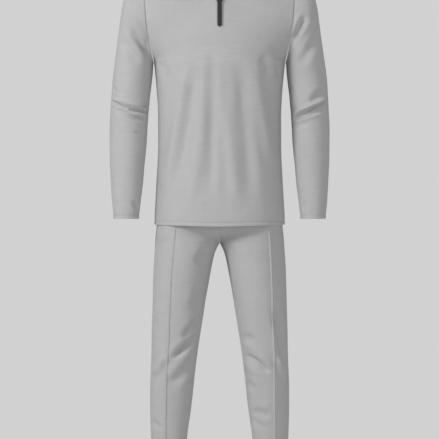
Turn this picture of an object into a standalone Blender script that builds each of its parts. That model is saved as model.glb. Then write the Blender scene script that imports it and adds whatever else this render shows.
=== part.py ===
"""Tracksuit: a quarter-zip pullover over tapered trousers, filled out as if worn, with no wearer.

Units are metres and +Z is up. The front faces -Y, and +X is the wearer's left. The origin is the middle of
the neck's base, level with the neck ends of the shoulder seams.
"""
import math
from collections import namedtuple

import bmesh
import bpy
from mathutils import Vector

# Cloth
WALL = 0.0014
COLLAR_WALL = 0.0026
BAND_WALL = 0.0028
TAPE_WALL = 0.0010
SEAM_GAP = 0.0003
FRONT = -1
BACK = 1
LEFT = 1
RIGHT = -1

# Neckline: an ellipse tilted down to the front, and a shallower one at the back
NECK_HALF_WIDTH = 0.080
NECK_SEAM_Y = 0.010
NECK_FRONT_Y = -0.075
NECK_FRONT_DROP = 0.079
NECK_BACK_Y = 0.062
NECK_BACK_DROP = 0.018
NECK_STEPS = 5

# Armhole: an upright ring from the shoulder point down to the underarm
SHOULDER_X = 0.206
SHOULDER_Z = -0.052
UNDERARM_X = 0.1805
UNDERARM_Z = -0.272
ARMHOLE_Y = 0.003
ARMHOLE_HALF_DEPTH = 0.065
ARMHOLE_BOW = 0.008
ARMHOLE_STEPS = 10
RIM_AIM = Vector((0.176, ARMHOLE_Y, -0.162))

# Pullover body below the underarm: the side seam's place and the depths at the middle
BODY_FULLNESS = 0.62
BODY_COLUMNS = 9
BodyRow = namedtuple("BodyRow", "side_z half_width middle_z front_y back_y")
BODY_ROWS = [
    BodyRow(-0.7189, 0.1788, -0.7252, -0.1280, 0.1310),
    BodyRow(-0.6900, 0.1786, -0.6930, -0.1285, 0.1310),
    BodyRow(-0.6400, 0.1755, -0.6415, -0.1275, 0.1280),
    BodyRow(-0.5800, 0.1722, -0.5800, -0.1250, 0.1185),
    BodyRow(-0.5200, 0.1694, -0.5200, -0.1235, 0.1080),
    BodyRow(-0.4600, 0.1691, -0.4600, -0.1225, 0.1030),
    BodyRow(-0.4000, 0.1695, -0.4000, -0.1245, 0.1060),
    BodyRow(-0.3450, 0.1730, -0.3450, -0.1265, 0.1130),
    BodyRow(-0.3000, 0.1772, -0.3000, -0.1275, 0.1170),
    BodyRow(-0.2720, UNDERARM_X, -0.2720, -0.1270, 0.1180),
]

# Middle of the front and of the back, from the underarm's level up to the neckline
MiddlePoint = namedtuple("MiddlePoint", "z y")
FRONT_MIDDLE = [
    MiddlePoint(-0.241, -0.1235),
    MiddlePoint(-0.210, -0.1185),
    MiddlePoint(-0.179, -0.1120),
    MiddlePoint(-0.129, -0.0935),
    MiddlePoint(-0.079, -0.0750),
]
BACK_MIDDLE = [
    MiddlePoint(-0.2212, 0.1170),
    MiddlePoint(-0.1704, 0.1120),
    MiddlePoint(-0.1196, 0.1010),
    MiddlePoint(-0.0688, 0.0840),
    MiddlePoint(-0.0180, 0.0620),
]

# Zip slit down from the front neck point
SLIT_HALF_WIDTH = 0.003
SLIT_BOTTOM_Z = -0.179

# Sleeve rings: the outer and inner points of each, its middle and its half depth
SleeveRing = namedtuple("SleeveRing", "outer_x outer_z inner_x inner_z middle_y half_depth")
SLEEVE_RINGS = [
    SleeveRing(SHOULDER_X, SHOULDER_Z, UNDERARM_X, UNDERARM_Z, ARMHOLE_Y, ARMHOLE_HALF_DEPTH),
    SleeveRing(0.2390, -0.0650, 0.1818, -0.2770, 0.003, 0.066),
    SleeveRing(0.2600, -0.0930, 0.1825, -0.2830, 0.003, 0.067),
    SleeveRing(0.2695, -0.1300, 0.1830, -0.2900, 0.003, 0.067),
    SleeveRing(0.2760, -0.1800, 0.1835, -0.2980, 0.003, 0.067),
    SleeveRing(0.2830, -0.2300, 0.1845, -0.3100, 0.003, 0.067),
    SleeveRing(0.2900, -0.2800, 0.1865, -0.3270, 0.003, 0.066),
    SleeveRing(0.2950, -0.3240, 0.1890, -0.3480, 0.002, 0.065),
    SleeveRing(0.2970, -0.3560, 0.1915, -0.3690, 0.000, 0.064),
    SleeveRing(0.2985, -0.3780, 0.1930, -0.3860, -0.001, 0.063),
    SleeveRing(0.2993, -0.3960, 0.1945, -0.4010, -0.002, 0.062),
    SleeveRing(0.3000, -0.4130, 0.1957, -0.4160, -0.003, 0.061),
    SleeveRing(0.3013, -0.4320, 0.1967, -0.4330, -0.004, 0.060),
    SleeveRing(0.3020, -0.4600, 0.1985, -0.4600, -0.007, 0.058),
    SleeveRing(0.3015, -0.5050, 0.2010, -0.5050, -0.012, 0.056),
    SleeveRing(0.3008, -0.5550, 0.2062, -0.5550, -0.019, 0.053),
    SleeveRing(0.2988, -0.6030, 0.2102, -0.6030, -0.026, 0.049),
    SleeveRing(0.2957, -0.6500, 0.2158, -0.6500, -0.034, 0.045),
    SleeveRing(0.2925, -0.6850, 0.2198, -0.6850, -0.039, 0.042),
    SleeveRing(0.2912, -0.7037, 0.2216, -0.7037, -0.042, 0.040),
]
BOW_RINGS = 3
SLEEVE_SIDES = 2 * ARMHOLE_STEPS

# Stand collar
COLLAR_HEIGHT = 0.058
COLLAR_ROWS = 4
COLLAR_LEAN = 0.12
COLLAR_SPREAD = 0.012
COLLAR_SPREAD_COLUMNS = 3

# Trousers: rows that end on the rise seam, then rows round each leg
RISE_HALF_GAP = SEAM_GAP / 2
LEG_SEAM_Y = 0.005
HIP_FULLNESS = 0.62
HipRow = namedtuple("HipRow", "rise_z front_rise_y back_rise_y side_z outer_x front_depth back_depth share")
HIP_ROWS = [
    HipRow(-0.5400, -0.1030, 0.0920, -0.5400, 0.1560, -0.080, 0.073, 1.00),
    HipRow(-0.6000, -0.1070, 0.1060, -0.6000, 0.1640, -0.084, 0.083, 1.00),
    HipRow(-0.6600, -0.1060, 0.1150, -0.6500, 0.1685, -0.086, 0.091, 1.00),
    HipRow(-0.7050, -0.1000, 0.1130, -0.6850, 0.1710, -0.0895, 0.093, 0.85),
    HipRow(-0.7330, -0.0860, 0.1020, -0.7100, 0.1723, -0.0925, 0.096, 0.65),
    HipRow(-0.7520, -0.0620, 0.0800, -0.7320, 0.1736, -0.095, 0.101, 0.40),
    HipRow(-0.7650, -0.0300, 0.0450, -0.7520, 0.1760, -0.099, 0.106, 0.15),
    HipRow(-0.7686, LEG_SEAM_Y, LEG_SEAM_Y, -0.7700, 0.1772, -0.101, 0.108, 0.00),
]
LegRow = namedtuple("LegRow", "z inner_x outer_x front_depth back_depth")
LEG_ROWS = [
    LegRow(-0.7950, 0.0125, 0.1788, -0.1010, 0.1090),
    LegRow(-0.8250, 0.0200, 0.1810, -0.0990, 0.1050),
    LegRow(-0.8700, 0.0285, 0.1828, -0.0950, 0.0960),
    LegRow(-0.9200, 0.0375, 0.1842, -0.0900, 0.0860),
    LegRow(-0.9700, 0.0453, 0.1856, -0.0840, 0.0770),
    LegRow(-1.0150, 0.0523, 0.1868, -0.0780, 0.0700),
    LegRow(-1.0500, 0.0577, 0.1872, -0.0740, 0.0660),
    LegRow(-1.0850, 0.0625, 0.1880, -0.0710, 0.0640),
    LegRow(-1.1200, 0.0670, 0.1895, -0.0670, 0.0650),
    LegRow(-1.1550, 0.0708, 0.1908, -0.0630, 0.0670),
    LegRow(-1.1950, 0.0750, 0.1911, -0.0600, 0.0680),
    LegRow(-1.2400, 0.0805, 0.1909, -0.0560, 0.0670),
    LegRow(-1.2850, 0.0872, 0.1896, -0.0530, 0.0640),
    LegRow(-1.3300, 0.0915, 0.1882, -0.0510, 0.0600),
    LegRow(-1.3900, 0.0950, 0.1876, -0.0490, 0.0550),
    LegRow(-1.4500, 0.0970, 0.1872, -0.0470, 0.0510),
    LegRow(-1.5070, 0.0980, 0.1870, -0.0460, 0.0490),
]
LEG_BACK_COLUMNS = 8
LEG_FRONT_INNER_COLUMNS = 5
LEG_FRONT_OUTER_COLUMNS = 3
BAND_TOP_Z = -0.500
BAND_LEAN = 0.985

# Pintuck down the front of each leg: its line, the ridge's half widths and its height
TUCK_HALF_BASE = 0.0028
TUCK_HALF_TOP = 0.0012
TUCK_HEIGHT = 0.0028
TuckPoint = namedtuple("TuckPoint", "z x")
TUCK_LINES = {
    RIGHT: [
        TuckPoint(-0.540, 0.112), TuckPoint(-0.726, 0.121), TuckPoint(-0.861, 0.133),
        TuckPoint(-0.938, 0.137), TuckPoint(-1.034, 0.140), TuckPoint(-1.092, 0.144),
        TuckPoint(-1.169, 0.147), TuckPoint(-1.284, 0.149), TuckPoint(-1.507, 0.147),
    ],
    LEFT: [
        TuckPoint(-0.540, 0.122), TuckPoint(-0.726, 0.135), TuckPoint(-0.784, 0.139),
        TuckPoint(-0.899, 0.144), TuckPoint(-1.015, 0.146), TuckPoint(-1.092, 0.150),
        TuckPoint(-1.169, 0.151), TuckPoint(-1.284, 0.151), TuckPoint(-1.507, 0.149),
    ],
}

# Largest folds, each along a path of (x, z) points seen from the front; depth is outward, so troughs are below 0
Fold = namedtuple("Fold", "path width depth")
NO_FOLDS = []
BODY_FRONT_FOLDS = [
    Fold([(-0.093, -0.272), (-0.123, -0.487), (-0.156, -0.624)], 0.019, 0.0026),
    Fold([(-0.040, -0.344), (-0.054, -0.487), (-0.082, -0.693)], 0.021, 0.0030),
    Fold([(0.015, -0.344), (0.028, -0.487), (0.048, -0.693)], 0.019, 0.0026),
    Fold([(0.089, -0.261), (0.125, -0.445), (0.152, -0.583)], 0.021, 0.0028),
    Fold([(-0.062, -0.261), (-0.095, -0.487), (-0.137, -0.671)], 0.019, -0.0032),
    Fold([(-0.021, -0.212), (-0.021, -0.487), (-0.027, -0.693)], 0.018, -0.0026),
    Fold([(0.048, -0.239), (0.070, -0.445), (0.089, -0.693)], 0.021, -0.0032),
    Fold([(0.111, -0.253), (0.144, -0.308)], 0.018, -0.0024),
]
BODY_BACK_FOLDS = [
    Fold([(-0.085, -0.230), (-0.108, -0.440), (-0.140, -0.640)], 0.021, 0.0028),
    Fold([(-0.010, -0.300), (-0.022, -0.470), (-0.046, -0.690)], 0.022, 0.0030),
    Fold([(0.078, -0.260), (0.102, -0.470), (0.118, -0.660)], 0.021, 0.0028),
    Fold([(-0.048, -0.280), (-0.066, -0.480), (-0.094, -0.690)], 0.019, -0.0030),
    Fold([(0.036, -0.250), (0.048, -0.460), (0.070, -0.690)], 0.020, -0.0030),
    Fold([(-0.120, -0.395), (0.000, -0.420), (0.115, -0.400)], 0.017, -0.0030),
]
SLEEVE_FRONT_FOLDS = {
    RIGHT: [
        Fold([(-0.252, -0.170), (-0.181, -0.267)], 0.013, -0.0042),
        Fold([(-0.274, -0.206), (-0.219, -0.283)], 0.016, -0.0022),
        Fold([(-0.299, -0.380), (-0.258, -0.402), (-0.197, -0.410)], 0.010, -0.0040),
        Fold([(-0.288, -0.366), (-0.230, -0.386), (-0.197, -0.389)], 0.011, 0.0026),
        Fold([(-0.296, -0.401), (-0.252, -0.416), (-0.197, -0.434)], 0.011, -0.0032),
    ],
    LEFT: [
        Fold([(0.240, -0.143), (0.196, -0.220)], 0.012, -0.0046),
        Fold([(0.272, -0.200), (0.214, -0.290)], 0.016, -0.0022),
        Fold([(0.292, -0.345), (0.246, -0.385)], 0.013, -0.0026),
        Fold([(0.295, -0.371), (0.224, -0.406), (0.202, -0.412)], 0.009, 0.0024),
        Fold([(0.295, -0.386), (0.235, -0.416), (0.202, -0.433)], 0.011, -0.0042),
    ],
}
SLEEVE_BACK_FOLDS = {
    RIGHT: [
        Fold([(-0.244, -0.150), (-0.190, -0.240)], 0.014, -0.0036),
        Fold([(-0.292, -0.392), (-0.246, -0.410), (-0.200, -0.424)], 0.011, -0.0030),
        Fold([(-0.292, -0.352), (-0.240, -0.372), (-0.198, -0.378)], 0.013, 0.0022),
    ],
    LEFT: [
        Fold([(0.250, -0.160), (0.190, -0.250)], 0.014, -0.0036),
        Fold([(0.294, -0.384), (0.240, -0.400), (0.200, -0.426)], 0.011, -0.0032),
        Fold([(0.290, -0.345), (0.236, -0.368), (0.198, -0.372)], 0.013, 0.0022),
    ],
}
LEG_FRONT_FOLDS = {
    RIGHT: [
        Fold([(-0.050, -0.971), (-0.104, -1.037)], 0.015, -0.0030),
        Fold([(-0.051, -1.015), (-0.100, -1.060), (-0.137, -1.092)], 0.014, -0.0044),
        Fold([(-0.146, -1.073), (-0.184, -1.136)], 0.013, 0.0030),
        Fold([(-0.057, -1.075), (-0.142, -1.169)], 0.017, -0.0030),
        Fold([(-0.027, -0.784), (-0.065, -0.833)], 0.018, -0.0026),
        Fold([(-0.090, -1.400), (-0.160, -1.440)], 0.018, -0.0028),
    ],
    LEFT: [
        Fold([(0.155, -1.075), (0.188, -1.149)], 0.013, 0.0030),
        Fold([(0.147, -0.938), (0.187, -1.130)], 0.014, -0.0036),
        Fold([(0.066, -1.073), (0.143, -1.130)], 0.016, -0.0036),
        Fold([(0.061, -1.028), (0.100, -1.037)], 0.014, -0.0020),
        Fold([(0.085, -1.232), (0.143, -1.244)], 0.014, -0.0024),
        Fold([(0.100, -1.390), (0.165, -1.430)], 0.018, -0.0028),
    ],
}
LEG_BACK_FOLDS = {
    RIGHT: [
        Fold([(-0.042, -0.853), (-0.122, -0.898)], 0.021, -0.0032),
        Fold([(-0.062, -1.043), (-0.171, -1.082)], 0.018, -0.0035),
        Fold([(-0.068, -1.093), (-0.166, -1.138)], 0.017, -0.0031),
        Fold([(-0.098, -1.374), (-0.169, -1.402)], 0.019, -0.0027),
    ],
    LEFT: [
        Fold([(0.045, -0.860), (0.130, -0.890)], 0.020, -0.0034),
        Fold([(0.066, -1.060), (0.172, -1.070)], 0.017, -0.0034),
        Fold([(0.072, -1.100), (0.160, -1.150)], 0.018, -0.0030),
        Fold([(0.104, -1.380), (0.170, -1.420)], 0.018, -0.0028),
    ],
}
FACING_LOW = 0.05
FACING_HIGH = 0.55

# Zip: tapes behind the slit and the collar's front edges, and the slider with its pull
TAPE_BEHIND_BODY = WALL + 0.0007
TAPE_BEHIND_COLLAR = COLLAR_WALL + 0.0007
TAPE_EDGE_CLOSED = -0.0024
TAPE_EDGE_NECK = -0.0014
TAPE_EDGE_OPEN = -0.0020
TAPE_OUTER = 0.0085
TAPE_BELOW_SLIT = 0.25
TAPE_STEP = 0.070
ZIP_TILT = -math.atan2(FRONT_MIDDLE[4].y - FRONT_MIDDLE[2].y, FRONT_MIDDLE[4].z - FRONT_MIDDLE[2].z)
PLATE_HALF_WIDTH = 0.0043
PLATE_TOP = -0.0062
PLATE_BOTTOM = -0.0176
PLATE_TAPER = 0.0012
FRONT_PLATE_Y = (-0.0021, -0.0005)
BACK_PLATE_Y = (0.0037, 0.0047)
POST_HALF_WIDTH = 0.0008
POST_Z = (-0.0094, -0.0070)
BAIL_HALF_WIDTH = 0.0011
BAIL_FOOT_LENGTH = 0.0012
BAIL_Z = (-0.0168, -0.0086)
BAIL_OUTER_Y = -0.0066
BAIL_INNER_Y = -0.0054
BAIL_CORNER = 0.0010
HINGE_Y = -0.0040
HINGE_Z = -0.0128
PULL_REST_TILT = math.radians(1.0)
PULL_THICKNESS = 0.0022
PULL_LENGTH = 0.0910
TAB_HALF_WIDTH = 0.0060
TAB_CORNER = 0.0035
HEAD_HALF_WIDTH = 0.0093
HEAD_LENGTH = 0.0205
HEAD_TAPER = 0.0045
HEAD_CORNER = 0.0040
PULL_TOP = 0.0008
PULL_BAR_RADIUS = 0.0009
WINDOW_HALF_WIDTH = 0.0032
WINDOW_LENGTH = 0.0140
PULL_HOLE_RADIUS = 0.0016
PULL_HOLE_UP = 0.0050

Finish = namedtuple("Finish", "colour roughness metallic")
CLOTH = Finish((0.47, 0.47, 0.475), 0.85, 0.0)
TAPE_CLOTH = Finish((0.40, 0.40, 0.405), 0.80, 0.0)
GUNMETAL = Finish((0.045, 0.045, 0.050), 0.35, 0.9)
BLACK_PLASTIC = Finish((0.022, 0.022, 0.024), 0.45, 0.0)


class Sheet:
    """A one-sided cloth surface that is later given its wall.

    A point may carry a lean, which replaces the way its inner point lies, and a rise of its outer point.
    """

    def __init__(self):
        self.points = []
        self.faces = []
        self.leans = {}
        self.rises = {}
        self.numbers = {}

    def point(self, place, lean=None, rise=0.0):
        key = tuple(round(value, 7) for value in place)
        if key not in self.numbers:
            self.numbers[key] = len(self.points)
            self.points.append(Vector(place))
        number = self.numbers[key]
        if lean is not None:
            self.leans[number] = lean
        if rise:
            self.rises[number] = rise
        return number

    def add_patch(self, rows, flip, leans=None, rises=None):
        """Adds rows of points as quads; a cell with a missing corner is left out."""
        numbers = []
        for r, row in enumerate(rows):
            numbers.append([])
            for c, place in enumerate(row):
                lean = leans(r, c) if leans else None
                rise = rises(r, c) if rises else 0.0
                numbers[-1].append(None if place is None else self.point(place, lean, rise))
        for lower, upper in zip(numbers, numbers[1:]):
            for c in range(len(lower) - 1):
                corners = [lower[c], lower[c + 1], upper[c + 1], upper[c]]
                if None not in corners:
                    self.faces.append(corners[::-1] if flip else corners)

    def normals(self):
        sums = [Vector() for _ in self.points]
        for face in self.faces:
            a, b, c, d = (self.points[number] for number in face)
            normal = (c - a).cross(d - b)
            for number in face:
                sums[number] += normal
        return [total.normalized() for total in sums]

    def fold(self, front_folds, back_folds):
        """Moves the points in and out along the folds on the side that each faces; seam points stay."""
        for number, (place, normal) in enumerate(zip(self.points, self.normals())):
            if number in self.leans:
                continue
            facing = front_folds if normal.y < 0 else back_folds
            share = smooth_step(FACING_LOW, FACING_HIGH, abs(normal.y))
            place += normal * share * sum(fold_height(place, fold) for fold in facing)

    def border(self):
        """Edges that belong to one face only, in that face's direction."""
        edges = set()
        for face in self.faces:
            for a, b in zip(face, face[1:] + face[:1]):
                if (b, a) in edges:
                    edges.remove((b, a))
                else:
                    edges.add((a, b))
        return sorted(edges)

    def triangles(self):
        """Faces cut along their shorter diagonal, so that both sides of the wall bend alike."""
        cut = []
        for a, b, c, d in self.faces:
            first = (self.points[c] - self.points[a]).length
            second = (self.points[d] - self.points[b]).length
            cut += [[a, b, c], [a, c, d]] if first <= second else [[a, b, d], [b, c, d]]
        return cut

    def inward(self, number, normal):
        """Way from a point to its inner one: along a lean, or along the normal without one of its axes."""
        lean = self.leans.get(number)
        if lean is None:
            return -normal
        if isinstance(lean, Vector):
            return lean.normalized()
        flat = -normal
        for axis in lean:
            flat[axis] = 0.0
        return flat.normalized()

    def build(self, name, wall, finish):
        normals = self.normals()
        count = len(self.points)
        outer = [p + n * self.rises.get(i, 0.0) for i, (p, n) in enumerate(zip(self.points, normals))]
        inner = [p + self.inward(i, n) * wall for i, (p, n) in enumerate(zip(self.points, normals))]
        faces = self.triangles()
        faces += [[number + count for number in reversed(face)] for face in self.triangles()]
        faces += [[b, a, a + count, b + count] for a, b in self.border()]
        return make_object(name, outer + inner, faces, finish)


def smooth_step(low, high, value):
    share = min(max((value - low) / (high - low), 0.0), 1.0)
    return share * share * (3.0 - 2.0 * share)


def mix(a, b, share):
    return a + (b - a) * share


def fold_height(place, fold):
    """Height of one fold at a place: a soft bump across its path that fades out at the path's ends."""
    best = None
    lengths = [math.dist(a, b) for a, b in zip(fold.path, fold.path[1:])]
    walked = 0.0
    for (ax, az), (bx, bz), length in zip(fold.path, fold.path[1:], lengths):
        along = ((place.x - ax) * (bx - ax) + (place.z - az) * (bz - az)) / length ** 2
        along = min(max(along, 0.0), 1.0)
        away = math.hypot(place.x - mix(ax, bx, along), place.z - mix(az, bz, along))
        if best is None or away < best[0]:
            best = (away, (walked + along * length) / sum(lengths))
        walked += length
    away, along = best
    taper = smooth_step(0.0, 0.3, along) * smooth_step(0.0, 0.3, 1.0 - along)
    return fold.depth * taper * math.exp(-((away / fold.width) ** 2))


def bezier(p0, p1, p2, p3, t):
    s = 1.0 - t
    return p0 * s ** 3 + p1 * (3 * s * s * t) + p2 * (3 * s * t * t) + p3 * t ** 3


def table_value(points, z, field):
    """Linear value of a field at a height, from rows sorted downward."""
    for upper, lower in zip(points, points[1:]):
        if z >= lower.z:
            share = min(max((upper.z - z) / (upper.z - lower.z), 0.0), 1.0)
            return mix(getattr(upper, field), getattr(lower, field), share)
    return getattr(points[-1], field)


def material(name, finish):
    made = bpy.data.materials.new(name)
    made.use_nodes = True
    shader = made.node_tree.nodes["Principled BSDF"]
    shader.inputs["Base Color"].default_value = (*finish.colour, 1.0)
    shader.inputs["Roughness"].default_value = finish.roughness
    shader.inputs["Metallic"].default_value = finish.metallic
    return made


def make_object(name, points, faces, finish):
    mesh = bpy.data.meshes.new(name)
    mesh.from_pydata([tuple(point) for point in points], [], faces)
    mesh.shade_smooth()
    mesh.set_sharp_from_angle(angle=math.radians(40))
    mesh.materials.append(material(name, finish))
    made = bpy.data.objects.new(name, mesh)
    bpy.context.collection.objects.link(made)
    return made


def neck_point(share, face):
    """Point on the left half of the neckline: share 0 is at the middle, 1 at the shoulder seam."""
    turn = share * math.pi / 2
    middle_y = NECK_FRONT_Y if face == FRONT else NECK_BACK_Y
    drop = NECK_FRONT_DROP if face == FRONT else NECK_BACK_DROP
    start_x = SLIT_HALF_WIDTH if face == FRONT else 0.0
    x = start_x + (NECK_HALF_WIDTH - start_x) * math.sin(turn)
    y = NECK_SEAM_Y + (middle_y - NECK_SEAM_Y) * math.cos(turn)
    return Vector((x, y, -drop * math.cos(turn)))


def ring_point(ring, turn, bow):
    """Point of a sleeve ring; turn 0 is its outer point, and a quarter turn its front."""
    across = math.cos(turn)
    x = mix(ring.inner_x, ring.outer_x, (1 + across) / 2) + bow * math.sin(turn) ** 2
    z = mix(ring.inner_z, ring.outer_z, (1 + across) / 2)
    return Vector((x, ring.middle_y - ring.half_depth * math.sin(turn), z))


def armhole_point(step, face):
    """Point of the left armhole: step 0 is the shoulder point and ARMHOLE_STEPS the underarm."""
    turn = math.pi * step / ARMHOLE_STEPS
    place = ring_point(SLEEVE_RINGS[0], turn, ARMHOLE_BOW)
    if face == BACK:
        place.y = 2 * ARMHOLE_Y - place.y
    return place


def seam_shift(place, face):
    """Moves a point of a front or back edge half a seam gap to its own side."""
    return Vector((place.x, place.y + face * SEAM_GAP / 2, place.z))


def body_row(row, face):
    """Points from the middle to the side seam, below the underarm."""
    depth = row.front_y if face == FRONT else row.back_y
    start = Vector((SLIT_HALF_WIDTH if face == FRONT else 0.0, depth, row.middle_z))
    end = seam_shift(Vector((row.half_width, ARMHOLE_Y, row.side_z)), face)
    start_handle = Vector((mix(start.x, end.x, BODY_FULLNESS), depth, mix(start.z, end.z, 1 / 3)))
    end_handle = Vector((end.x, mix(end.y, depth, BODY_FULLNESS), mix(start.z, end.z, 2 / 3)))
    return [bezier(start, start_handle, end_handle, end, c / BODY_COLUMNS) for c in range(BODY_COLUMNS + 1)]


def chest_row(step, start, face):
    """Points from the middle or the neckline to the armhole, at one armhole step above the underarm."""
    end = armhole_point(step, face)
    if step == 0:
        end = seam_shift(end, face)
        start = seam_shift(start, face)
    share = step / ARMHOLE_STEPS
    turn = math.pi / 2 * share ** 1.8
    chord = math.hypot(end.x - start.x, end.y - start.y)
    reach_in = chord * mix(1 / 3, 0.5, share)
    reach_out = chord * 0.35
    lean_y = 0.0 if share else (end.y - start.y) / 3
    start_handle = start + Vector((reach_in, lean_y, (end.z - start.z) / 3))
    end_handle = end + Vector((-reach_out * math.cos(turn), face * reach_out * math.sin(turn),
                               (start.z - end.z) / 3))
    return [bezier(start, start_handle, end_handle, end, c / BODY_COLUMNS) for c in range(BODY_COLUMNS + 1)]


def body_half(face):
    """Rows of the left half of the front or back, hem to shoulder seam."""
    rows = [body_row(row, face) for row in BODY_ROWS]
    middle = FRONT_MIDDLE if face == FRONT else BACK_MIDDLE
    start_x = SLIT_HALF_WIDTH if face == FRONT else 0.0
    starts = [Vector((start_x, point.y, point.z)) for point in middle]
    starts += [neck_point(n / NECK_STEPS, face) for n in range(1, NECK_STEPS + 1)]
    for n, start in enumerate(starts):
        rows.append(chest_row(ARMHOLE_STEPS - 1 - n, start, face))
    return rows


def mirrored(rows):
    return [[None if p is None else Vector((-p.x, p.y, p.z)) for p in row] for row in rows]


def body_leans(rows, side):
    """Seam leans of a body half: the armhole's rim aims into the body, the other seams stay in their plane."""
    underarm = len(BODY_ROWS) - 1
    last = len(rows) - 1

    def lean(r, c):
        if c == len(rows[r]) - 1 and r >= underarm:
            aim = Vector((RIM_AIM.x * side, RIM_AIM.y, RIM_AIM.z))
            return aim - Vector((rows[r][c].x, ARMHOLE_Y if r in (underarm, last) else rows[r][c].y,
                                 rows[r][c].z))
        if c == len(rows[r]) - 1 or r == last:
            return (1,)
        return None

    return lean


def body_panel(name, face, front_folds, back_folds):
    rows = body_half(face)
    if face == FRONT:
        for row in rows:
            closed = row[0].z <= SLIT_BOTTOM_Z + 1e-6
            row.insert(0, Vector((0.0, row[0].y, row[0].z)) if closed else None)
    sheet = Sheet()
    flip = face == BACK
    sheet.add_patch(rows, flip, body_leans(rows, LEFT))
    other = mirrored(rows)
    sheet.add_patch(other, not flip, body_leans(other, RIGHT))
    sheet.fold(front_folds, back_folds)
    return sheet.build(name, WALL, CLOTH)


def sleeve(name, side):
    rows = []
    for n, ring in enumerate(SLEEVE_RINGS):
        bow = ARMHOLE_BOW * max(0.0, 1.0 - n / BOW_RINGS)
        rows.append([ring_point(ring, 2 * math.pi * k / SLEEVE_SIDES, bow) for k in range(SLEEVE_SIDES)])
        rows[-1].append(rows[-1][0])
    start = SEAM_GAP * 1.5
    rows[0] = [place + Vector((start, 0.0, 0.0)) for place in rows[0]]
    if side == RIGHT:
        rows = mirrored(rows)

    def lean(r, c):
        if r == 0:
            return Vector((RIM_AIM.x * side, RIM_AIM.y, RIM_AIM.z)) - rows[r][c] + Vector((start * side, 0, 0))
        return None

    sheet = Sheet()
    sheet.add_patch(rows, side == RIGHT, lean)
    sheet.fold(SLEEVE_FRONT_FOLDS[side], SLEEVE_BACK_FOLDS[side])
    return sheet.build(name, WALL, CLOTH)


def collar_rows():
    """Rows of the collar, from its base up, going from the left front edge round the back to the right one."""
    half = [neck_point(n / NECK_STEPS, FRONT) for n in range(NECK_STEPS + 1)]
    half += [neck_point(1 - n / NECK_STEPS, BACK) for n in range(1, NECK_STEPS + 1)]
    base = half + [Vector((-p.x, p.y, p.z)) for p in reversed(half[:-1])]
    axis = Vector((0.0, NECK_SEAM_Y, 0.0))
    rows = []
    for r in range(COLLAR_ROWS + 1):
        height = COLLAR_HEIGHT * r / COLLAR_ROWS
        row = []
        for c, place in enumerate(base):
            outward = Vector((place.x, place.y - axis.y, 0.0)).normalized()
            up = Vector((0.0, 0.0, 1.0)) - outward * COLLAR_LEAN
            from_edge = min(c, len(base) - 1 - c)
            spread = COLLAR_SPREAD * r / COLLAR_ROWS * max(0.0, 1.0 - from_edge / COLLAR_SPREAD_COLUMNS)
            side = LEFT if c < len(base) / 2 else RIGHT
            row.append(place + up * (height + SEAM_GAP) + Vector((spread * side, 0.0, 0.0)))
        rows.append(row)
    return rows


def collar():
    sheet = Sheet()
    sheet.add_patch(collar_rows(), False)
    return sheet.build("collar", COLLAR_WALL, CLOTH)


def zip_tape(name, side):
    """One woven tape, made from the points of the front's and the collar's edge, moved inward."""
    front = body_half(FRONT)
    slit = next(r for r, row in enumerate(front) if abs(row[0].z - SLIT_BOTTOM_Z) < 1e-6)
    tilt_in = Vector((0.0, math.cos(ZIP_TILT), math.sin(ZIP_TILT)))
    below = [mix(front[slit][c], front[slit - 1][c], TAPE_BELOW_SLIT) for c in range(2)]
    stations = [(below, TAPE_BEHIND_BODY, TAPE_EDGE_CLOSED)]
    stations += [(front[slit], TAPE_BEHIND_BODY, TAPE_EDGE_CLOSED)]
    stations += [(front[slit + 1], TAPE_BEHIND_BODY, TAPE_EDGE_CLOSED)]
    stands = collar_rows()
    under_neck = [mix(front[slit + 2][c], front[slit + 1][c], TAPE_STEP) for c in range(2)]
    stations += [(under_neck, TAPE_BEHIND_BODY, TAPE_EDGE_NECK)]
    stations += [(stands[0], TAPE_BEHIND_COLLAR, TAPE_EDGE_NECK)]
    stations += [(row, TAPE_BEHIND_COLLAR, TAPE_EDGE_OPEN) for row in stands[1:]]
    rows = []
    for edge, behind, reach in stations:
        across = (edge[1] - edge[0]).normalized()
        outward_z = Vector((0.0, 0.0, 1.0)) if behind == TAPE_BEHIND_COLLAR else -tilt_in.cross(across)
        inward = outward_z.cross(across).normalized()
        start = edge[0] + inward * behind
        rows.append([start + Vector((reach, 0.0, 0.0)), start, start + across * TAPE_OUTER])
    if side == RIGHT:
        rows = mirrored(rows)
    sheet = Sheet()
    sheet.add_patch(rows, side == RIGHT)
    return sheet.build(name, TAPE_WALL, TAPE_CLOTH)


def trouser_row(rise, side, depth, share, face, stops):
    """Points from the rise or inseam to the side seam; share 0 rounds a leg, 1 rounds the hips."""
    rise = rise + Vector((0.0, face * SEAM_GAP / 2 if share == 0.0 else 0.0, 0.0))
    side = seam_shift(side, face)
    handles_y = (depth - 0.125 * rise.y - 0.125 * side.y) / 0.375
    rise_handle_y = mix(handles_y / 2, rise.y, share)
    rise_handle = Vector((mix(rise.x, side.x * HIP_FULLNESS, share), rise_handle_y, mix(rise.z, side.z, 1 / 3)))
    side_handle = Vector((side.x, handles_y - rise_handle_y, mix(rise.z, side.z, 2 / 3)))
    curve = (rise, rise_handle, side_handle, side)
    return [bezier(*curve, t) for t in stops(curve)]


def even_stops(curve):
    return [c / LEG_BACK_COLUMNS for c in range(LEG_BACK_COLUMNS + 1)]


def stop_at_x(curve, x):
    """Place along a row's curve where it reaches a width."""
    low, high = 0.0, 1.0
    for _ in range(40):
        middle = (low + high) / 2
        if bezier(*curve, middle).x < x:
            low = middle
        else:
            high = middle
    return low


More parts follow.
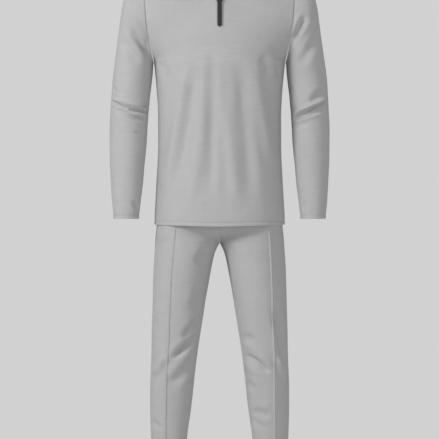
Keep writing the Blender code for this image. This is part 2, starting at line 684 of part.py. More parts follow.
def tuck_stops(line):
    """Column places for a leg front, with four columns for the pintuck."""

    def stops(curve):
        middle = bezier(*curve, 0.5)
        x = table_value(line, middle.z, "x")
        ridge = [stop_at_x(curve, x + reach)
                 for reach in (-TUCK_HALF_BASE, -TUCK_HALF_TOP, TUCK_HALF_TOP, TUCK_HALF_BASE)]
        inner = [ridge[0] * c / LEG_FRONT_INNER_COLUMNS for c in range(LEG_FRONT_INNER_COLUMNS)]
        outer = [mix(ridge[3], 1.0, c / LEG_FRONT_OUTER_COLUMNS) for c in range(1, LEG_FRONT_OUTER_COLUMNS + 1)]
        return inner + ridge + outer

    return stops


def trouser_half(face, side):
    """Rows of one leg's front or back, from the waist down to the hem, on the left side."""
    stops = tuck_stops(TUCK_LINES[side]) if face == FRONT else even_stops
    rows = []
    for row in HIP_ROWS:
        rise_y = row.front_rise_y if face == FRONT else row.back_rise_y
        depth = row.front_depth if face == FRONT else row.back_depth
        rise = Vector((RISE_HALF_GAP, rise_y, row.rise_z))
        rows.append(trouser_row(rise, Vector((row.outer_x, LEG_SEAM_Y, row.side_z)), depth, row.share,
                                face, stops))
    for row in LEG_ROWS:
        depth = row.front_depth if face == FRONT else row.back_depth
        rise = Vector((row.inner_x, LEG_SEAM_Y, row.z))
        rows.append(trouser_row(rise, Vector((row.outer_x, LEG_SEAM_Y, row.z)), depth, 0.0, face, stops))
    return rows


def trouser_panel(name, face, side):
    rows = trouser_half(face, side)
    if side == RIGHT:
        rows = mirrored(rows)
    crotch = len(HIP_ROWS) - 1

    def lean(r, c):
        if c == 0 and r < crotch:
            return (0,)
        if c == 0 and r == crotch:
            return (0, 1)
        if c in (0, len(rows[r]) - 1):
            return (1,)
        return None

    def rise(r, c):
        tops = (LEG_FRONT_INNER_COLUMNS + 1, LEG_FRONT_INNER_COLUMNS + 2)
        return TUCK_HEIGHT if face == FRONT and c in tops else 0.0

    sheet = Sheet()
    sheet.add_patch(rows, (face == FRONT) == (side == LEFT), lean, rise)
    sheet.fold(LEG_FRONT_FOLDS[side], LEG_BACK_FOLDS[side])
    return sheet.build(name, WALL, CLOTH)


def waistband():
    """Plain elastic band that stands on the top edges of the four trouser panels."""
    edge = []
    for side in (LEFT, RIGHT):
        front = trouser_half(FRONT, side)[0]
        back = trouser_half(BACK, side)[0]
        around = front[:-1] + [Vector((front[-1].x, LEG_SEAM_Y, front[-1].z))] + back[-2::-1]
        around[0] = Vector((0.0, around[0].y, around[0].z))
        around[-1] = Vector((0.0, around[-1].y, around[-1].z))
        if side == RIGHT:
            around = [Vector((-p.x, p.y, p.z)) for p in reversed(around)]
        edge += around[:-1]
    edge.append(edge[0])
    bottom = [place + Vector((0.0, 0.0, SEAM_GAP)) for place in edge]
    top = [Vector((p.x * BAND_LEAN, p.y * BAND_LEAN, BAND_TOP_Z)) for p in edge]
    sheet = Sheet()
    sheet.add_patch([bottom, top], False)
    return sheet.build("waistband", BAND_WALL, CLOTH)


def prism(name, outline, axis, low, high, finish):
    """Solid between two flat copies of an outline; axis 0 or 1 is the way it is extruded."""
    def place(a, b, level):
        return (level, a, b) if axis == 0 else (a, level, b)

    count = len(outline)
    points = [place(a, b, low) for a, b in outline] + [place(a, b, high) for a, b in outline]
    faces = [list(range(count)), list(range(2 * count - 1, count - 1, -1))]
    faces += [[(n + 1) % count, n, n + count, (n + 1) % count + count] for n in range(count)]
    made = make_object(name, points, faces, finish)
    shape = bmesh.new()
    shape.from_mesh(made.data)
    bmesh.ops.recalc_face_normals(shape, faces=shape.faces)
    shape.to_mesh(made.data)
    shape.free()
    return made


def rounded_outline(half_width, bottom, top, corner, steps=4):
    """Upright rectangle with round corners, anticlockwise from its lower right."""
    outline = []
    centres = [(half_width - corner, bottom + corner, -90), (half_width - corner, top - corner, 0),
               (corner - half_width, top - corner, 90), (corner - half_width, bottom + corner, 180)]
    for x, z, start in centres:
        for n in range(steps + 1):
            turn = math.radians(start + 90 * n / steps)
            outline.append((x + corner * math.cos(turn), z + corner * math.sin(turn)))
    return outline


def combine(target, other, operation):
    """Applies a Boolean with another object, which is then removed."""
    step = target.modifiers.new(operation, "BOOLEAN")
    step.operation = operation
    step.object = other
    bpy.context.view_layer.update()
    shaped = bpy.data.meshes.new_from_object(target.evaluated_get(bpy.context.evaluated_depsgraph_get()))
    target.modifiers.clear()
    target.data = shaped
    bpy.data.objects.remove(other)


def slider(parent):
    outline = [(-PLATE_HALF_WIDTH + PLATE_TAPER, PLATE_BOTTOM), (PLATE_HALF_WIDTH - PLATE_TAPER, PLATE_BOTTOM),
               (PLATE_HALF_WIDTH, PLATE_BOTTOM + 3 * PLATE_TAPER), (PLATE_HALF_WIDTH, PLATE_TOP - PLATE_TAPER),
               (PLATE_HALF_WIDTH - PLATE_TAPER, PLATE_TOP), (-PLATE_HALF_WIDTH + PLATE_TAPER, PLATE_TOP),
               (-PLATE_HALF_WIDTH, PLATE_TOP - PLATE_TAPER), (-PLATE_HALF_WIDTH, PLATE_BOTTOM + 3 * PLATE_TAPER)]
    body = prism("zip_slider", outline, 1, *FRONT_PLATE_Y, GUNMETAL)
    back = prism("back_plate", outline, 1, *BACK_PLATE_Y, GUNMETAL)
    post_outline = [(-POST_HALF_WIDTH, POST_Z[0]), (POST_HALF_WIDTH, POST_Z[0]),
                    (POST_HALF_WIDTH, POST_Z[1]), (-POST_HALF_WIDTH, POST_Z[1])]
    sink = 0.0005
    post = prism("post", post_outline, 1, FRONT_PLATE_Y[1] - sink, BACK_PLATE_Y[0] + sink, GUNMETAL)
    low, high = BAIL_Z
    foot_y = FRONT_PLATE_Y[0] + sink
    bail_outline = [(foot_y, low), (BAIL_OUTER_Y + BAIL_CORNER, low), (BAIL_OUTER_Y, low + BAIL_CORNER),
                    (BAIL_OUTER_Y, high - BAIL_CORNER), (BAIL_OUTER_Y + BAIL_CORNER, high), (foot_y, high),
                    (foot_y, high - BAIL_FOOT_LENGTH), (BAIL_INNER_Y, high - BAIL_FOOT_LENGTH),
                    (BAIL_INNER_Y, low + BAIL_FOOT_LENGTH), (foot_y, low + BAIL_FOOT_LENGTH)]
    bail = prism("bail", bail_outline, 0, -BAIL_HALF_WIDTH, BAIL_HALF_WIDTH, GUNMETAL)
    for piece in (post, back, bail):
        combine(body, piece, "UNION")
    body.parent = parent
    return body


def pull(parent):
    """Long tab that hangs from the slider's bail by a round bar; its origin is the bar's axis."""
    half = PULL_THICKNESS / 2
    bottom = PULL_TOP - PULL_LENGTH
    tab = rounded_outline(TAB_HALF_WIDTH, bottom, PULL_TOP - HEAD_LENGTH + HEAD_TAPER, TAB_CORNER)
    neck_z = PULL_TOP - HEAD_LENGTH
    quarter = len(tab) // 4
    head_side = [(TAB_HALF_WIDTH, neck_z), (HEAD_HALF_WIDTH, neck_z + HEAD_TAPER),
                 (HEAD_HALF_WIDTH, PULL_TOP - HEAD_CORNER), (HEAD_HALF_WIDTH - HEAD_CORNER, PULL_TOP)]
    outline = tab[:quarter] + head_side + [(-x, z) for x, z in reversed(head_side)] + tab[3 * quarter:]
    body = prism("zip_pull", outline, 1, -half, half, BLACK_PLASTIC)
    window = rounded_outline(WINDOW_HALF_WIDTH, -WINDOW_LENGTH, PULL_TOP + 0.004, 0.0020)
    combine(body, prism("window", window, 1, -2 * half, 2 * half, BLACK_PLASTIC), "DIFFERENCE")
    hole_z = bottom + PULL_HOLE_UP
    turns = [2 * math.pi * n / 16 for n in range(16)]
    hole = [(PULL_HOLE_RADIUS * math.cos(t), hole_z + PULL_HOLE_RADIUS * math.sin(t)) for t in turns]
    combine(body, prism("hole", hole, 1, -2 * half, 2 * half, BLACK_PLASTIC), "DIFFERENCE")
    bar_outline = [(PULL_BAR_RADIUS * math.cos(t), PULL_BAR_RADIUS * math.sin(t)) for t in turns]
    bar_end = WINDOW_HALF_WIDTH + 0.0015
    bar = prism("bar", bar_outline, 0, -bar_end, bar_end, BLACK_PLASTIC)
    combine(body, bar, "UNION")
    body.parent = parent
    body.location = (0.0, HINGE_Y, HINGE_Z)
    body.rotation_euler = (PULL_REST_TILT, 0.0, 0.0)
    return body


def main():
    for old in list(bpy.data.objects):
        bpy.data.objects.remove(old)
    body_panel("top_front", FRONT, BODY_FRONT_FOLDS, NO_FOLDS)
    body_panel("top_back", BACK, NO_FOLDS, BODY_BACK_FOLDS)
    sleeve("sleeve_left", LEFT)
    sleeve("sleeve_right", RIGHT)
    collar()
    zip_tape("zip_tape_left", LEFT)
    zip_tape("zip_tape_right", RIGHT)
    zip_line = bpy.data.objects.new("zip_line", None)
    bpy.context.collection.objects.link(zip_line)
    zip_line.location = (0.0, NECK_FRONT_Y, -NECK_FRONT_DROP)
    zip_line.rotation_euler = (ZIP_TILT, 0.0, 0.0)
    slider(zip_line)
    pull(zip_line)
    trouser_panel("leg_front_left", FRONT, LEFT)
    trouser_panel("leg_front_right", FRONT, RIGHT)
    trouser_panel("leg_back_left", BACK, LEFT)
    trouser_panel("leg_back_right", BACK, RIGHT)
    waistband()
    bpy.context.view_layer.update()


main()
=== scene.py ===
"""Tracksuit: a light grey quarter-zip pullover over tapered trousers, filled out as if worn by no one.

Lengths are in metres and +Z is up. The front faces -Y, and +X is the wearer's left.
"""

import logging
import math
from collections.abc import Sequence
from dataclasses import dataclass, field
from enum import Enum

import bmesh
import bpy
import numpy as np
from mathutils import Matrix, Vector, noise


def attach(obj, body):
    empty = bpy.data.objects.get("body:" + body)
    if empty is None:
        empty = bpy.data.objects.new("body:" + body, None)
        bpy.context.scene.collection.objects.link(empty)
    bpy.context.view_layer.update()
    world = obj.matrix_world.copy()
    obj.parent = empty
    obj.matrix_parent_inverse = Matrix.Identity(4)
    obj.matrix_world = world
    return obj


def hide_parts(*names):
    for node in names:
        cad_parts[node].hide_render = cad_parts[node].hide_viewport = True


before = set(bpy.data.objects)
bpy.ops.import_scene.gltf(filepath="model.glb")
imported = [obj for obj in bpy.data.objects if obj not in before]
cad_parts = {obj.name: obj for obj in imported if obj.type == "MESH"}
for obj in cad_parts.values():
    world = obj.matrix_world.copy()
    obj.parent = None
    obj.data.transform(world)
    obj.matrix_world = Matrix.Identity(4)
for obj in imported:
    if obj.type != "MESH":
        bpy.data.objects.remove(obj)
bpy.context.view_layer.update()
LOG = logging.getLogger("tracksuit")

MM = 0.001
CLOTH_UV = "cloth"
SEAM_GAP = 0.3 * MM
WALL = 1.4 * MM
CELL = 4.4 * MM
SEAM_STEPS = (0.0, 1.2 * MM, 2.6 * MM, 4.6 * MM)
HEM_LINE = 10.4 * MM
FOLD_DEPTH = 1.9
FOLD_WIDTH = 0.76
HEM_STEPS = (0.0, 1.2 * MM, 2.8 * MM, 6.0 * MM, 9.2 * MM, HEM_LINE, 11.6 * MM, 13.6 * MM, 16.6 * MM)
LARGEST_ANGLE = math.radians(62)
RIM = 0.4 * MM
HALVINGS = 30
CLOSEST_SHARE = 0.35
PATH_STEPS = 4
SHOULDER_PLACE = 1.75
SHOULDER_SPREAD = 0.8
FACING = (0.05, 0.55)
WAVES = ((0.085, 1.0), (0.034, 0.42), (0.015, 0.16))
WAVE_STRETCH = 1.5
HEM_RAISE = 0.5 * MM
HEM_BAND = (9.6 * MM, 12.0 * MM)
HEM_ROLL = 2.0 * MM
STITCH_DIP = 1.5 * MM
STITCH_SPREAD = 1.4 * MM
STITCH_ROWS = 1.2 * MM
CURVE_END = 0.125
CURVE_HANDLES = 0.375
WAVER_SCALE = 90.0
WAVER_REACH = 0.0009
ROW_STRENGTH = 1.4
STREAK_SCALE = (14.0, 420.0, 1.0)
STREAK_ROUGHNESS = 0.6
DRIFT_SHARE = 0.06
HARD_EDGE = 35
SOFTENED_ANGLE = math.radians(40)


class Face(Enum):
    """Front or back of the garment, as the sign of its way along Y."""

    FRONT = -1
    BACK = 1


class Side(Enum):
    """The wearer's side, as the sign of its way along X."""

    LEFT = 1
    RIGHT = -1

    @property
    def word(self) -> str:
        """Name of the side in small letters."""
        return self.name.lower()


class Hold(Enum):
    """How a sheet of cloth is held."""

    HUNG = "hung"
    GATHERED = "gathered"


class Body(Enum):
    """Rigid body that a piece rides on."""

    GARMENT = "garment"
    PULL = "pull"


class Slot(Enum):
    """Material slot of the record that a piece takes its finish from."""

    KNIT = "knit"
    TAPE = "tape"
    SLIDER = "slider"
    PULL = "pull"


@dataclass(frozen=True)
class Cut:
    """Flat size of one piece of cloth: the rectangle round its pattern, and the pattern's own area."""

    width: float
    length: float
    area: float

    def state(self, piece: bpy.types.Object, held: Hold, rests_on: Sequence[str],
              with_pieces: Sequence[bpy.types.Object] = ()) -> None:
        """Logs that a piece is made; its flat size and how it is held are not recorded.

        Args:
            piece: the cloth.
            held: how it is held; not used.
            rests_on: names of the pieces that it is joined to or lies on; not used.
            with_pieces: what is sewn to it; not used.
        """
        LOG.info("made %s", piece.name)


def smooth_step(low: float, high: float, value: np.ndarray) -> np.ndarray:
    """Soft step from 0 to 1.

    Args:
        low: value where the step starts.
        high: value where the step ends.
        value: values to step.

    Returns:
        The step's height at each value.
    """
    share = np.clip((value - low) / max(high - low, 1e-9), 0.0, 1.0)
    return share * share * (3.0 - 2.0 * share)


def mix(low: np.ndarray, high: np.ndarray, share: np.ndarray) -> np.ndarray:
    """Blend of two values by a share from 0 to 1."""
    return low + (high - low) * share


def through(values: np.ndarray, at: np.ndarray) -> np.ndarray:
    """Smooth curve through values that stand at whole numbers.

    Args:
        values: one row for each whole number from 0 up.
        at: places between the rows.

    Returns:
        One row for each place.
    """
    values = np.asarray(values, float)
    slopes = np.gradient(values, axis=0)
    low = np.clip(np.floor(at).astype(int), 0, len(values) - 2)
    t = (at - low).reshape(-1, *[1] * (values.ndim - 1))
    rise = t * t * (3.0 - 2.0 * t)
    leave = t * (1.0 - t) ** 2
    arrive = t * t * (t - 1.0)
    steady = values[low] * (1.0 - rise) + values[low + 1] * rise
    return steady + slopes[low] * leave + slopes[low + 1] * arrive


def bezier(controls: np.ndarray, stops: np.ndarray) -> np.ndarray:
    """Points on one cubic curve per row.

    Args:
        controls: four control points for each row, as (rows, 4, 3).
        stops: places from 0 to 1, as (rows, columns).

    Returns:
        Points as (rows, columns, 3).
    """
    t = stops[..., None]
    s = 1.0 - t
    first, second, third, fourth = (controls[:, None, k] for k in range(4))
    return first * s ** 3 + second * (3 * s * s * t) + third * (3 * s * t * t) + fourth * t ** 3


def stop_at_x(controls: np.ndarray, x: np.ndarray) -> np.ndarray:
    """Place along each row's curve where it reaches a width, found by halving.

    Args:
        controls: four control points for each row, as (rows, 4, 3).
        x: the width for each row.

    Returns:
        One place from 0 to 1 for each row.
    """
    low, high = np.zeros(len(controls)), np.ones(len(controls))
    for _ in range(HALVINGS):
        middle = (low + high) / 2
        short = bezier(controls, middle[:, None])[:, 0, 0] < x
        low, high = np.where(short, middle, low), np.where(short, high, middle)
    return low


def stations(length: float, low: Sequence[float], high: Sequence[float], also: Sequence[float] = (),
             step: float = CELL) -> np.ndarray:
    """Distances along a piece of cloth, close together at its edges and even between them.

    Args:
        length: whole length.
        low: distances kept near the start.
        high: distances kept near the end, measured from it.
        also: further distances to keep.
        step: spacing between the edges.

    Returns:
        Sorted distances from 0 to the length.
    """
    first, last = low[-1], length - high[-1]
    even = np.linspace(first, last, max(2, round((last - first) / step)) + 1)
    kept = np.concatenate([low, length - np.array(high), also])
    apart = [value for value in even if np.abs(kept - value).min() > CLOSEST_SHARE * step]
    return np.unique(np.round(np.concatenate([kept, apart]), 6))


def row_numbers(distances: np.ndarray, rows: np.ndarray) -> np.ndarray:
    """Turns distances along a piece into places between its table's rows.

    Args:
        distances: distances from the first row.
        rows: one line of points per table row, whose mean spacing is the measure.

    Returns:
        Places counted in table rows.
    """
    spans = np.linalg.norm(np.diff(rows, axis=0), axis=-1).mean(axis=-1)
    walked = np.concatenate([[0.0], np.cumsum(spans)])
    return np.interp(distances, walked, np.arange(len(walked)))


def table_length(rows: np.ndarray) -> float:
    """Mean length of a piece from its first table row to its last."""
    return float(np.linalg.norm(np.diff(rows, axis=0), axis=-1).mean(axis=-1).sum())


@dataclass(frozen=True)
class Crease:
    """A fold along a path of (x, z) points seen from the front; a trough's depth is below 0."""

    path: tuple[tuple[float, float], ...]
    width: float
    depth: float
    shoulder: float = 0.25
    fades: tuple[float, float] = (0.3, 0.3)

    def heights(self, x: np.ndarray, z: np.ndarray) -> np.ndarray:
        """Height of the fold over points of the cloth.

        Args:
            x: widths of the points.
            z: heights of the points.

        Returns:
            How far each point moves outward.
        """
        count = PATH_STEPS * (len(self.path) - 1)
        path = through(np.array(self.path), np.linspace(0, len(self.path) - 1, count + 1))
        ways = np.diff(path, axis=0)
        lengths = np.hypot(ways[:, 0], ways[:, 1])
        nearest = np.full(x.shape, np.inf)
        along = np.zeros(x.shape)
        walked = 0.0
        for start, way, length in zip(path, ways, lengths):
            share = np.clip(((x - start[0]) * way[0] + (z - start[1]) * way[1]) / length ** 2, 0.0, 1.0)
            away = np.hypot(x - start[0] - share * way[0], z - start[1] - share * way[1])
            closer = away < nearest
            nearest = np.where(closer, away, nearest)
            along = np.where(closer, (walked + share * length) / lengths.sum(), along)
            walked += length
        fade = smooth_step(0.0, self.fades[0], along) * smooth_step(0.0, self.fades[1], 1.0 - along)
        away = nearest / (self.width * FOLD_WIDTH)
        core = np.exp(-(away ** 2))
        beside = np.exp(-((away - SHOULDER_PLACE) / SHOULDER_SPREAD) ** 2)
        return self.depth * FOLD_DEPTH * fade * (core - self.shoulder * beside)


@dataclass
class Patch:
    """Cloth laid out as rows and columns of points, with the sign that turns its normals outward."""

    places: np.ndarray
    sign: int
    flat: np.ndarray = field(init=False)

    def __post_init__(self) -> None:
        """Lays the cloth out flat: widths along each row, and mean lengths down the columns."""
        across = np.linalg.norm(np.diff(self.places, axis=1), axis=-1)
        down = np.linalg.norm(np.diff(self.places, axis=0), axis=-1).mean(axis=1)
        rows, columns = self.places.shape[:2]
        self.flat = np.zeros((rows, columns, 2))
        self.flat[:, 1:, 0] = np.cumsum(across, axis=1)
        self.flat[1:, :, 1] = np.cumsum(down)[:, None]

    def outward(self) -> np.ndarray:
        """Unit normals at all points."""
        normals = np.cross(np.gradient(self.places, axis=1), np.gradient(self.places, axis=0)) * self.sign
        return normals / np.maximum(np.linalg.norm(normals, axis=-1, keepdims=True), 1e-12)

    def push(self, heights: np.ndarray) -> None:
        """Moves every point outward by its own height."""
        self.places = self.places + self.outward() * heights[..., None]

    def from_edges(self) -> tuple[np.ndarray, np.ndarray, np.ndarray, np.ndarray]:
        """Distances of all points from the patch's edges.

        Returns:
            Distances from the first column, the last column, the first row and the last row.
        """
        across = np.linalg.norm(np.diff(self.places, axis=1), axis=-1)
        down = np.linalg.norm(np.diff(self.places, axis=0), axis=-1)
        first_column = np.pad(np.cumsum(across, axis=1), ((0, 0), (1, 0)))
        first_row = np.pad(np.cumsum(down, axis=0), ((1, 0), (0, 0)))
        return first_column, first_column[:, -1:] - first_column, first_row, first_row[-1:] - first_row

    def fold(self, front: Sequence[Crease], back: Sequence[Crease], fade: np.ndarray) -> None:
        """Presses creases into the side that each point faces.

        Args:
            front: creases of the front.
            back: creases of the back.
            fade: share of the creases' height at each point.
        """
        x, z = self.places[..., 0], self.places[..., 2]
        facing = self.outward()[..., 1]
        share = smooth_step(*FACING, np.abs(facing)) * fade
        front_height = sum(crease.heights(x, z) for crease in front) if front else 0.0
        back_height = sum(crease.heights(x, z) for crease in back) if back else 0.0
        self.push(np.where(facing < 0, front_height, back_height) * share)

    def slacken(self, fade: np.ndarray, seed: float, amount: float = 1.1 * MM) -> None:
        """Adds the slight waviness of soft cloth.

        Args:
            fade: share of the waviness at each point.
            seed: shifts the pattern from piece to piece.
            amount: height of the largest waves.
        """
        heights = np.zeros(self.places.shape[:2])
        for size, share in WAVES:
            points = self.places.reshape(-1, 3) / np.array([size, size, size * WAVE_STRETCH]) + seed
            heights += share * np.array([noise.noise(point) for point in points]).reshape(heights.shape)
        self.push(heights * amount * fade)


def seam_dip(distance: np.ndarray, depth: float = 1.0 * MM, reach: float = 3.2 * MM) -> np.ndarray:
    """Pull of a seam on the cloth beside it."""
    return -depth * (1.0 - smooth_step(0.0, reach, distance))


def hem_relief(distance: np.ndarray) -> np.ndarray:
    """Turned-up hem: a slightly raised band with a sewn dip at its upper edge.

    Args:
        distance: distances from the hem's edge.

    Returns:
        How far each point moves outward.
    """
    band = HEM_RAISE * (1.0 - smooth_step(*HEM_BAND, distance))
    roll = -HEM_RAISE * (1.0 - smooth_step(0.0, HEM_ROLL, distance))
    stitched = -STITCH_DIP * np.exp(-(((distance - HEM_LINE) / STITCH_SPREAD) ** 2))
    return band + roll + stitched


class Shape:
    """A bmesh that becomes one finished piece."""

    def __init__(self) -> None:
        """Starts an empty shape."""
        self.mesh = bmesh.new()

    def add_patch(self, patch: Patch, mirror_flat: bool = False) -> None:
        """Adds a patch of cloth as a grid that is laid over its points.

        Args:
            patch: the cloth's points, normal sign and flat layout.
            mirror_flat: lays the flat widths the other way, for a right half.
        """
        rows, columns = patch.places.shape[:2]
        uv = self.mesh.loops.layers.uv.get(CLOTH_UV) or self.mesh.loops.layers.uv.new(CLOTH_UV)
        made = bmesh.ops.create_grid(self.mesh, x_segments=columns - 1, y_segments=rows - 1,
                                     size=0.5)["verts"]
        spots = {}
        for vertex in made:
            column = round((vertex.co.x + 0.5) * (columns - 1))
            row = round((vertex.co.y + 0.5) * (rows - 1))
            spots[vertex] = (row, column)
            vertex.co = patch.places[row, column]
        faces = {face for vertex in made for face in vertex.link_faces}
        width_sign = -1.0 if mirror_flat else 1.0
        for face in faces:
            for loop in face.loops:
                across, down = patch.flat[spots[loop.vert]]
                loop[uv].uv = (across * width_sign, down)
        if patch.sign < 0:
            bmesh.ops.reverse_faces(self.mesh, faces=list(faces))

    def close_seams(self) -> None:
        """Joins points that lie on each other."""
        bmesh.ops.remove_doubles(self.mesh, verts=self.mesh.verts, dist=0.01 * MM)

    def add_bead(self, place: np.ndarray, along: np.ndarray, out: np.ndarray, sizes: Sequence[float],
                 segments: tuple[int, int] = (6, 4)) -> None:
        """Adds a small rounded bead, such as a stitch or a zip coil's tooth.

        Args:
            place: its middle.
            along: its long way.
            out: the way out of the cloth.
            sizes: half sizes along, across and out.
            segments: corners round it and steps from pole to pole.
        """
        long_way = Vector(along).normalized()
        cross_way = Vector(out).cross(long_way).normalized()
        up = long_way.cross(cross_way)
        turn = Matrix((long_way * sizes[0], cross_way * sizes[1], up * sizes[2])).transposed().to_4x4()
        bmesh.ops.create_uvsphere(self.mesh, u_segments=segments[0], v_segments=segments[1], radius=1.0,
                                  matrix=Matrix.Translation(Vector(place)) @ turn)

    def sew(self, points: np.ndarray, normals: np.ndarray, pitch: float = 2.9 * MM,
            half_length: float = 1.05 * MM, half_width: float = 0.28 * MM) -> None:
        """Sews a row of stitches along a line on the cloth.

        Args:
            points: the line.
            normals: the cloth's outward way along it.
            pitch: distance between stitches.
            half_length: half a stitch's length.
            half_width: half a stitch's thickness.
        """
        spans = np.linalg.norm(np.diff(points, axis=0), axis=-1)
        walked = np.concatenate([[0.0], np.cumsum(spans)])
        places = np.arange(pitch / 2, walked[-1], pitch)

        def at(values: np.ndarray, distances: np.ndarray) -> np.ndarray:
            """Values along the line at some distances."""
            return np.stack([np.interp(distances, walked, values[:, k]) for k in range(3)], axis=-1)

        centres, outs = at(points, places), at(normals, places)
        ways = at(points, places + pitch / 4) - at(points, places - pitch / 4)
        for centre, out, way in zip(centres, outs, ways):
            self.add_bead(centre + out * half_width * 0.6, way, out, (half_length, half_width, half_width))

    def finish(self, name: str, finish: "Finish", slot: Slot, body: Body = Body.GARMENT,
               sharp: float | None = None) -> bpy.types.Object:
        """Turns the shape into a scene object that rides on a body.

        Args:
            name: the piece's name.
            finish: its finish.
            slot: the record's slot that it would take its finish from; not used.
            body: the body that it rides on.
            sharp: angle above which its edges stay sharp, in degrees.

        Returns:
            The new object.
        """
        mesh = bpy.data.meshes.new(name)
        self.mesh.to_mesh(mesh)
        self.mesh.free()
        mesh.shade_smooth()
        if sharp is not None:
            mesh.set_sharp_from_angle(angle=math.radians(sharp))
        mesh.materials.append(finish.material())
        made = bpy.data.objects.new(name, mesh)
        bpy.context.collection.objects.link(made)
        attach(made, body.value)
        return made


def thicken(piece: bpy.types.Object, wall: float, rim: float) -> None:
    """Gives cloth its wall on the inside, and rounds the wall's rims.

    Args:
        piece: the cloth.
        wall: its thickness.
        rim: the rounding's width.
    """
    solid = piece.modifiers.new("wall", "SOLIDIFY")
    solid.thickness = wall
    solid.offset = -1.0
    solid.use_even_offset = False
    bevel = piece.modifiers.new("rim", "BEVEL")
    bevel.width = rim
    bevel.segments = 2
    bevel.limit_method = "ANGLE"
    bevel.angle_limit = LARGEST_ANGLE


class Graph:
    """A node tree with short ways to add and join nodes."""

    def __init__(self, tree: bpy.types.NodeTree) -> None:
        """Wraps a tree and empties it."""
        self.tree = tree
        self.tree.nodes.clear()

    def add(self, kind: str, inputs: dict | None = None, **settings: object) -> bpy.types.Node:
        """Adds a node.

        Args:
            kind: the node's type name, without its ShaderNode prefix.
            inputs: values or sockets for its inputs, by name or number.
            settings: its own settings.

        Returns:
            The new node.
        """
        node = self.tree.nodes.new(kind if kind.startswith("Node") else f"ShaderNode{kind}")
        for name, value in settings.items():
            setattr(node, name, value)
        for name, value in (inputs or {}).items():
            if isinstance(value, bpy.types.NodeSocket):
                self.tree.links.new(value, node.inputs[name])
            else:
                node.inputs[name].default_value = value
        return node


def new_group(name: str, inputs: dict[str, str], outputs: dict[str, str]) -> tuple[Graph, bpy.types.Node]:
    """Starts a shader node group.

    Args:
        name: the group's name.
        inputs: socket types by name.
        outputs: socket types by name.

    Returns:
        The group's graph and its input node.
    """
    tree = bpy.data.node_groups.new(name, "ShaderNodeTree")
    graph = Graph(tree)
    for sockets, way in ((inputs, "INPUT"), (outputs, "OUTPUT")):
        for socket, kind in sockets.items():
            tree.interface.new_socket(name=socket, in_out=way, socket_type=f"NodeSocket{kind}")
    return graph, graph.add("NodeGroupInput")


def loops_group() -> bpy.types.NodeTree:
    """Rows and columns of small loops, as knitted or woven cloth shows them, with uneven streaks.

    Returns:
        The node group, built once.
    """
    if "loops" in bpy.data.node_groups:
        return bpy.data.node_groups["loops"]
    graph, given = new_group("loops", {"Vector": "Vector", "Row Scale": "Float", "Column Scale": "Float"},
                             {"Streaks": "Float", "Height": "Float"})
    parts = graph.add("SeparateXYZ", {0: given.outputs["Vector"]})
    waver = graph.add("TexNoise", {"Vector": given.outputs["Vector"], "Scale": WAVER_SCALE, "Detail": 2.0})
    bend = graph.add("Math", {0: waver.outputs["Fac"], 1: WAVER_REACH}, operation="MULTIPLY")
    down = graph.add("Math", {0: parts.outputs["Y"], 1: bend.outputs[0]}, operation="ADD")
    row = graph.add("Math", {0: down.outputs[0], 1: given.outputs["Row Scale"]}, operation="MULTIPLY")
    column = graph.add("Math", {0: parts.outputs["X"], 1: given.outputs["Column Scale"]},
                       operation="MULTIPLY")
    row_wave = graph.add("Math", {0: row.outputs[0]}, operation="SINE")
    column_wave = graph.add("Math", {0: column.outputs[0]}, operation="SINE")
    both = graph.add("Math", {0: row_wave.outputs[0], 1: column_wave.outputs[0]}, operation="MULTIPLY")
    height = graph.add("Math", {0: row_wave.outputs[0], 1: ROW_STRENGTH, 2: both.outputs[0]},
                       operation="MULTIPLY_ADD")
    stretched = graph.add("Mapping", {"Vector": given.outputs["Vector"], "Scale": STREAK_SCALE})
    streaks = graph.add("TexNoise", {"Vector": stretched.outputs[0], "Scale": 1.0, "Detail": 3.0,
                                     "Roughness": STREAK_ROUGHNESS})
    graph.add("NodeGroupOutput", {"Streaks": streaks.outputs["Fac"], "Height": height.outputs[0]})
    return graph.tree


def grain_group() -> bpy.types.NodeTree:
    """Fine even grain with a slower drift, for paint, moulded plastic, thread and plaster.

    Returns:
        The node group, built once.
    """
    if "grain" in bpy.data.node_groups:
        return bpy.data.node_groups["grain"]
    graph, given = new_group("grain", {"Vector": "Vector", "Scale": "Float"},
                             {"Value": "Float", "Drift": "Float"})
    fine = graph.add("TexNoise", {"Vector": given.outputs["Vector"], "Scale": given.outputs["Scale"],
                                  "Detail": 4.0})
    slow = graph.add("Math", {0: given.outputs["Scale"], 1: DRIFT_SHARE}, operation="MULTIPLY")
    drift = graph.add("TexNoise", {"Vector": given.outputs["Vector"], "Scale": slow.outputs[0]})
    graph.add("NodeGroupOutput", {"Value": fine.outputs["Fac"], "Drift": drift.outputs["Fac"]})
    return graph.tree


@dataclass(frozen=True)
class Finish:
    """What every finish has: a name, a colour and a roughness that both vary a little."""

    name: str
    colour: tuple[float, float, float]
    roughness: float
    variation: float = 0.03

    def shades(self) -> tuple[tuple[float, ...], tuple[float, ...]]:
        """Ends of the finish's range of colours.

        Returns:
            The darkest and the lightest colour, each with full cover.
        """
        low = tuple(value * (1.0 - self.variation) for value in self.colour)
        high = tuple(value * (1.0 + self.variation) for value in self.colour)
        return (*low, 1.0), (*high, 1.0)

    def material(self) -> bpy.types.Material:
        """Material of this finish, made once.

        Returns:
            The new or the known material.
        """
        known = bpy.data.materials.get(self.name)
        if known:
            return known
        made = bpy.data.materials.new(self.name)
        made.use_nodes = True
        self.dress(Graph(made.node_tree))
        return made

    def dress(self, graph: Graph) -> None:
        """Adds the finish's nodes to an empty material."""
        raise NotImplementedError


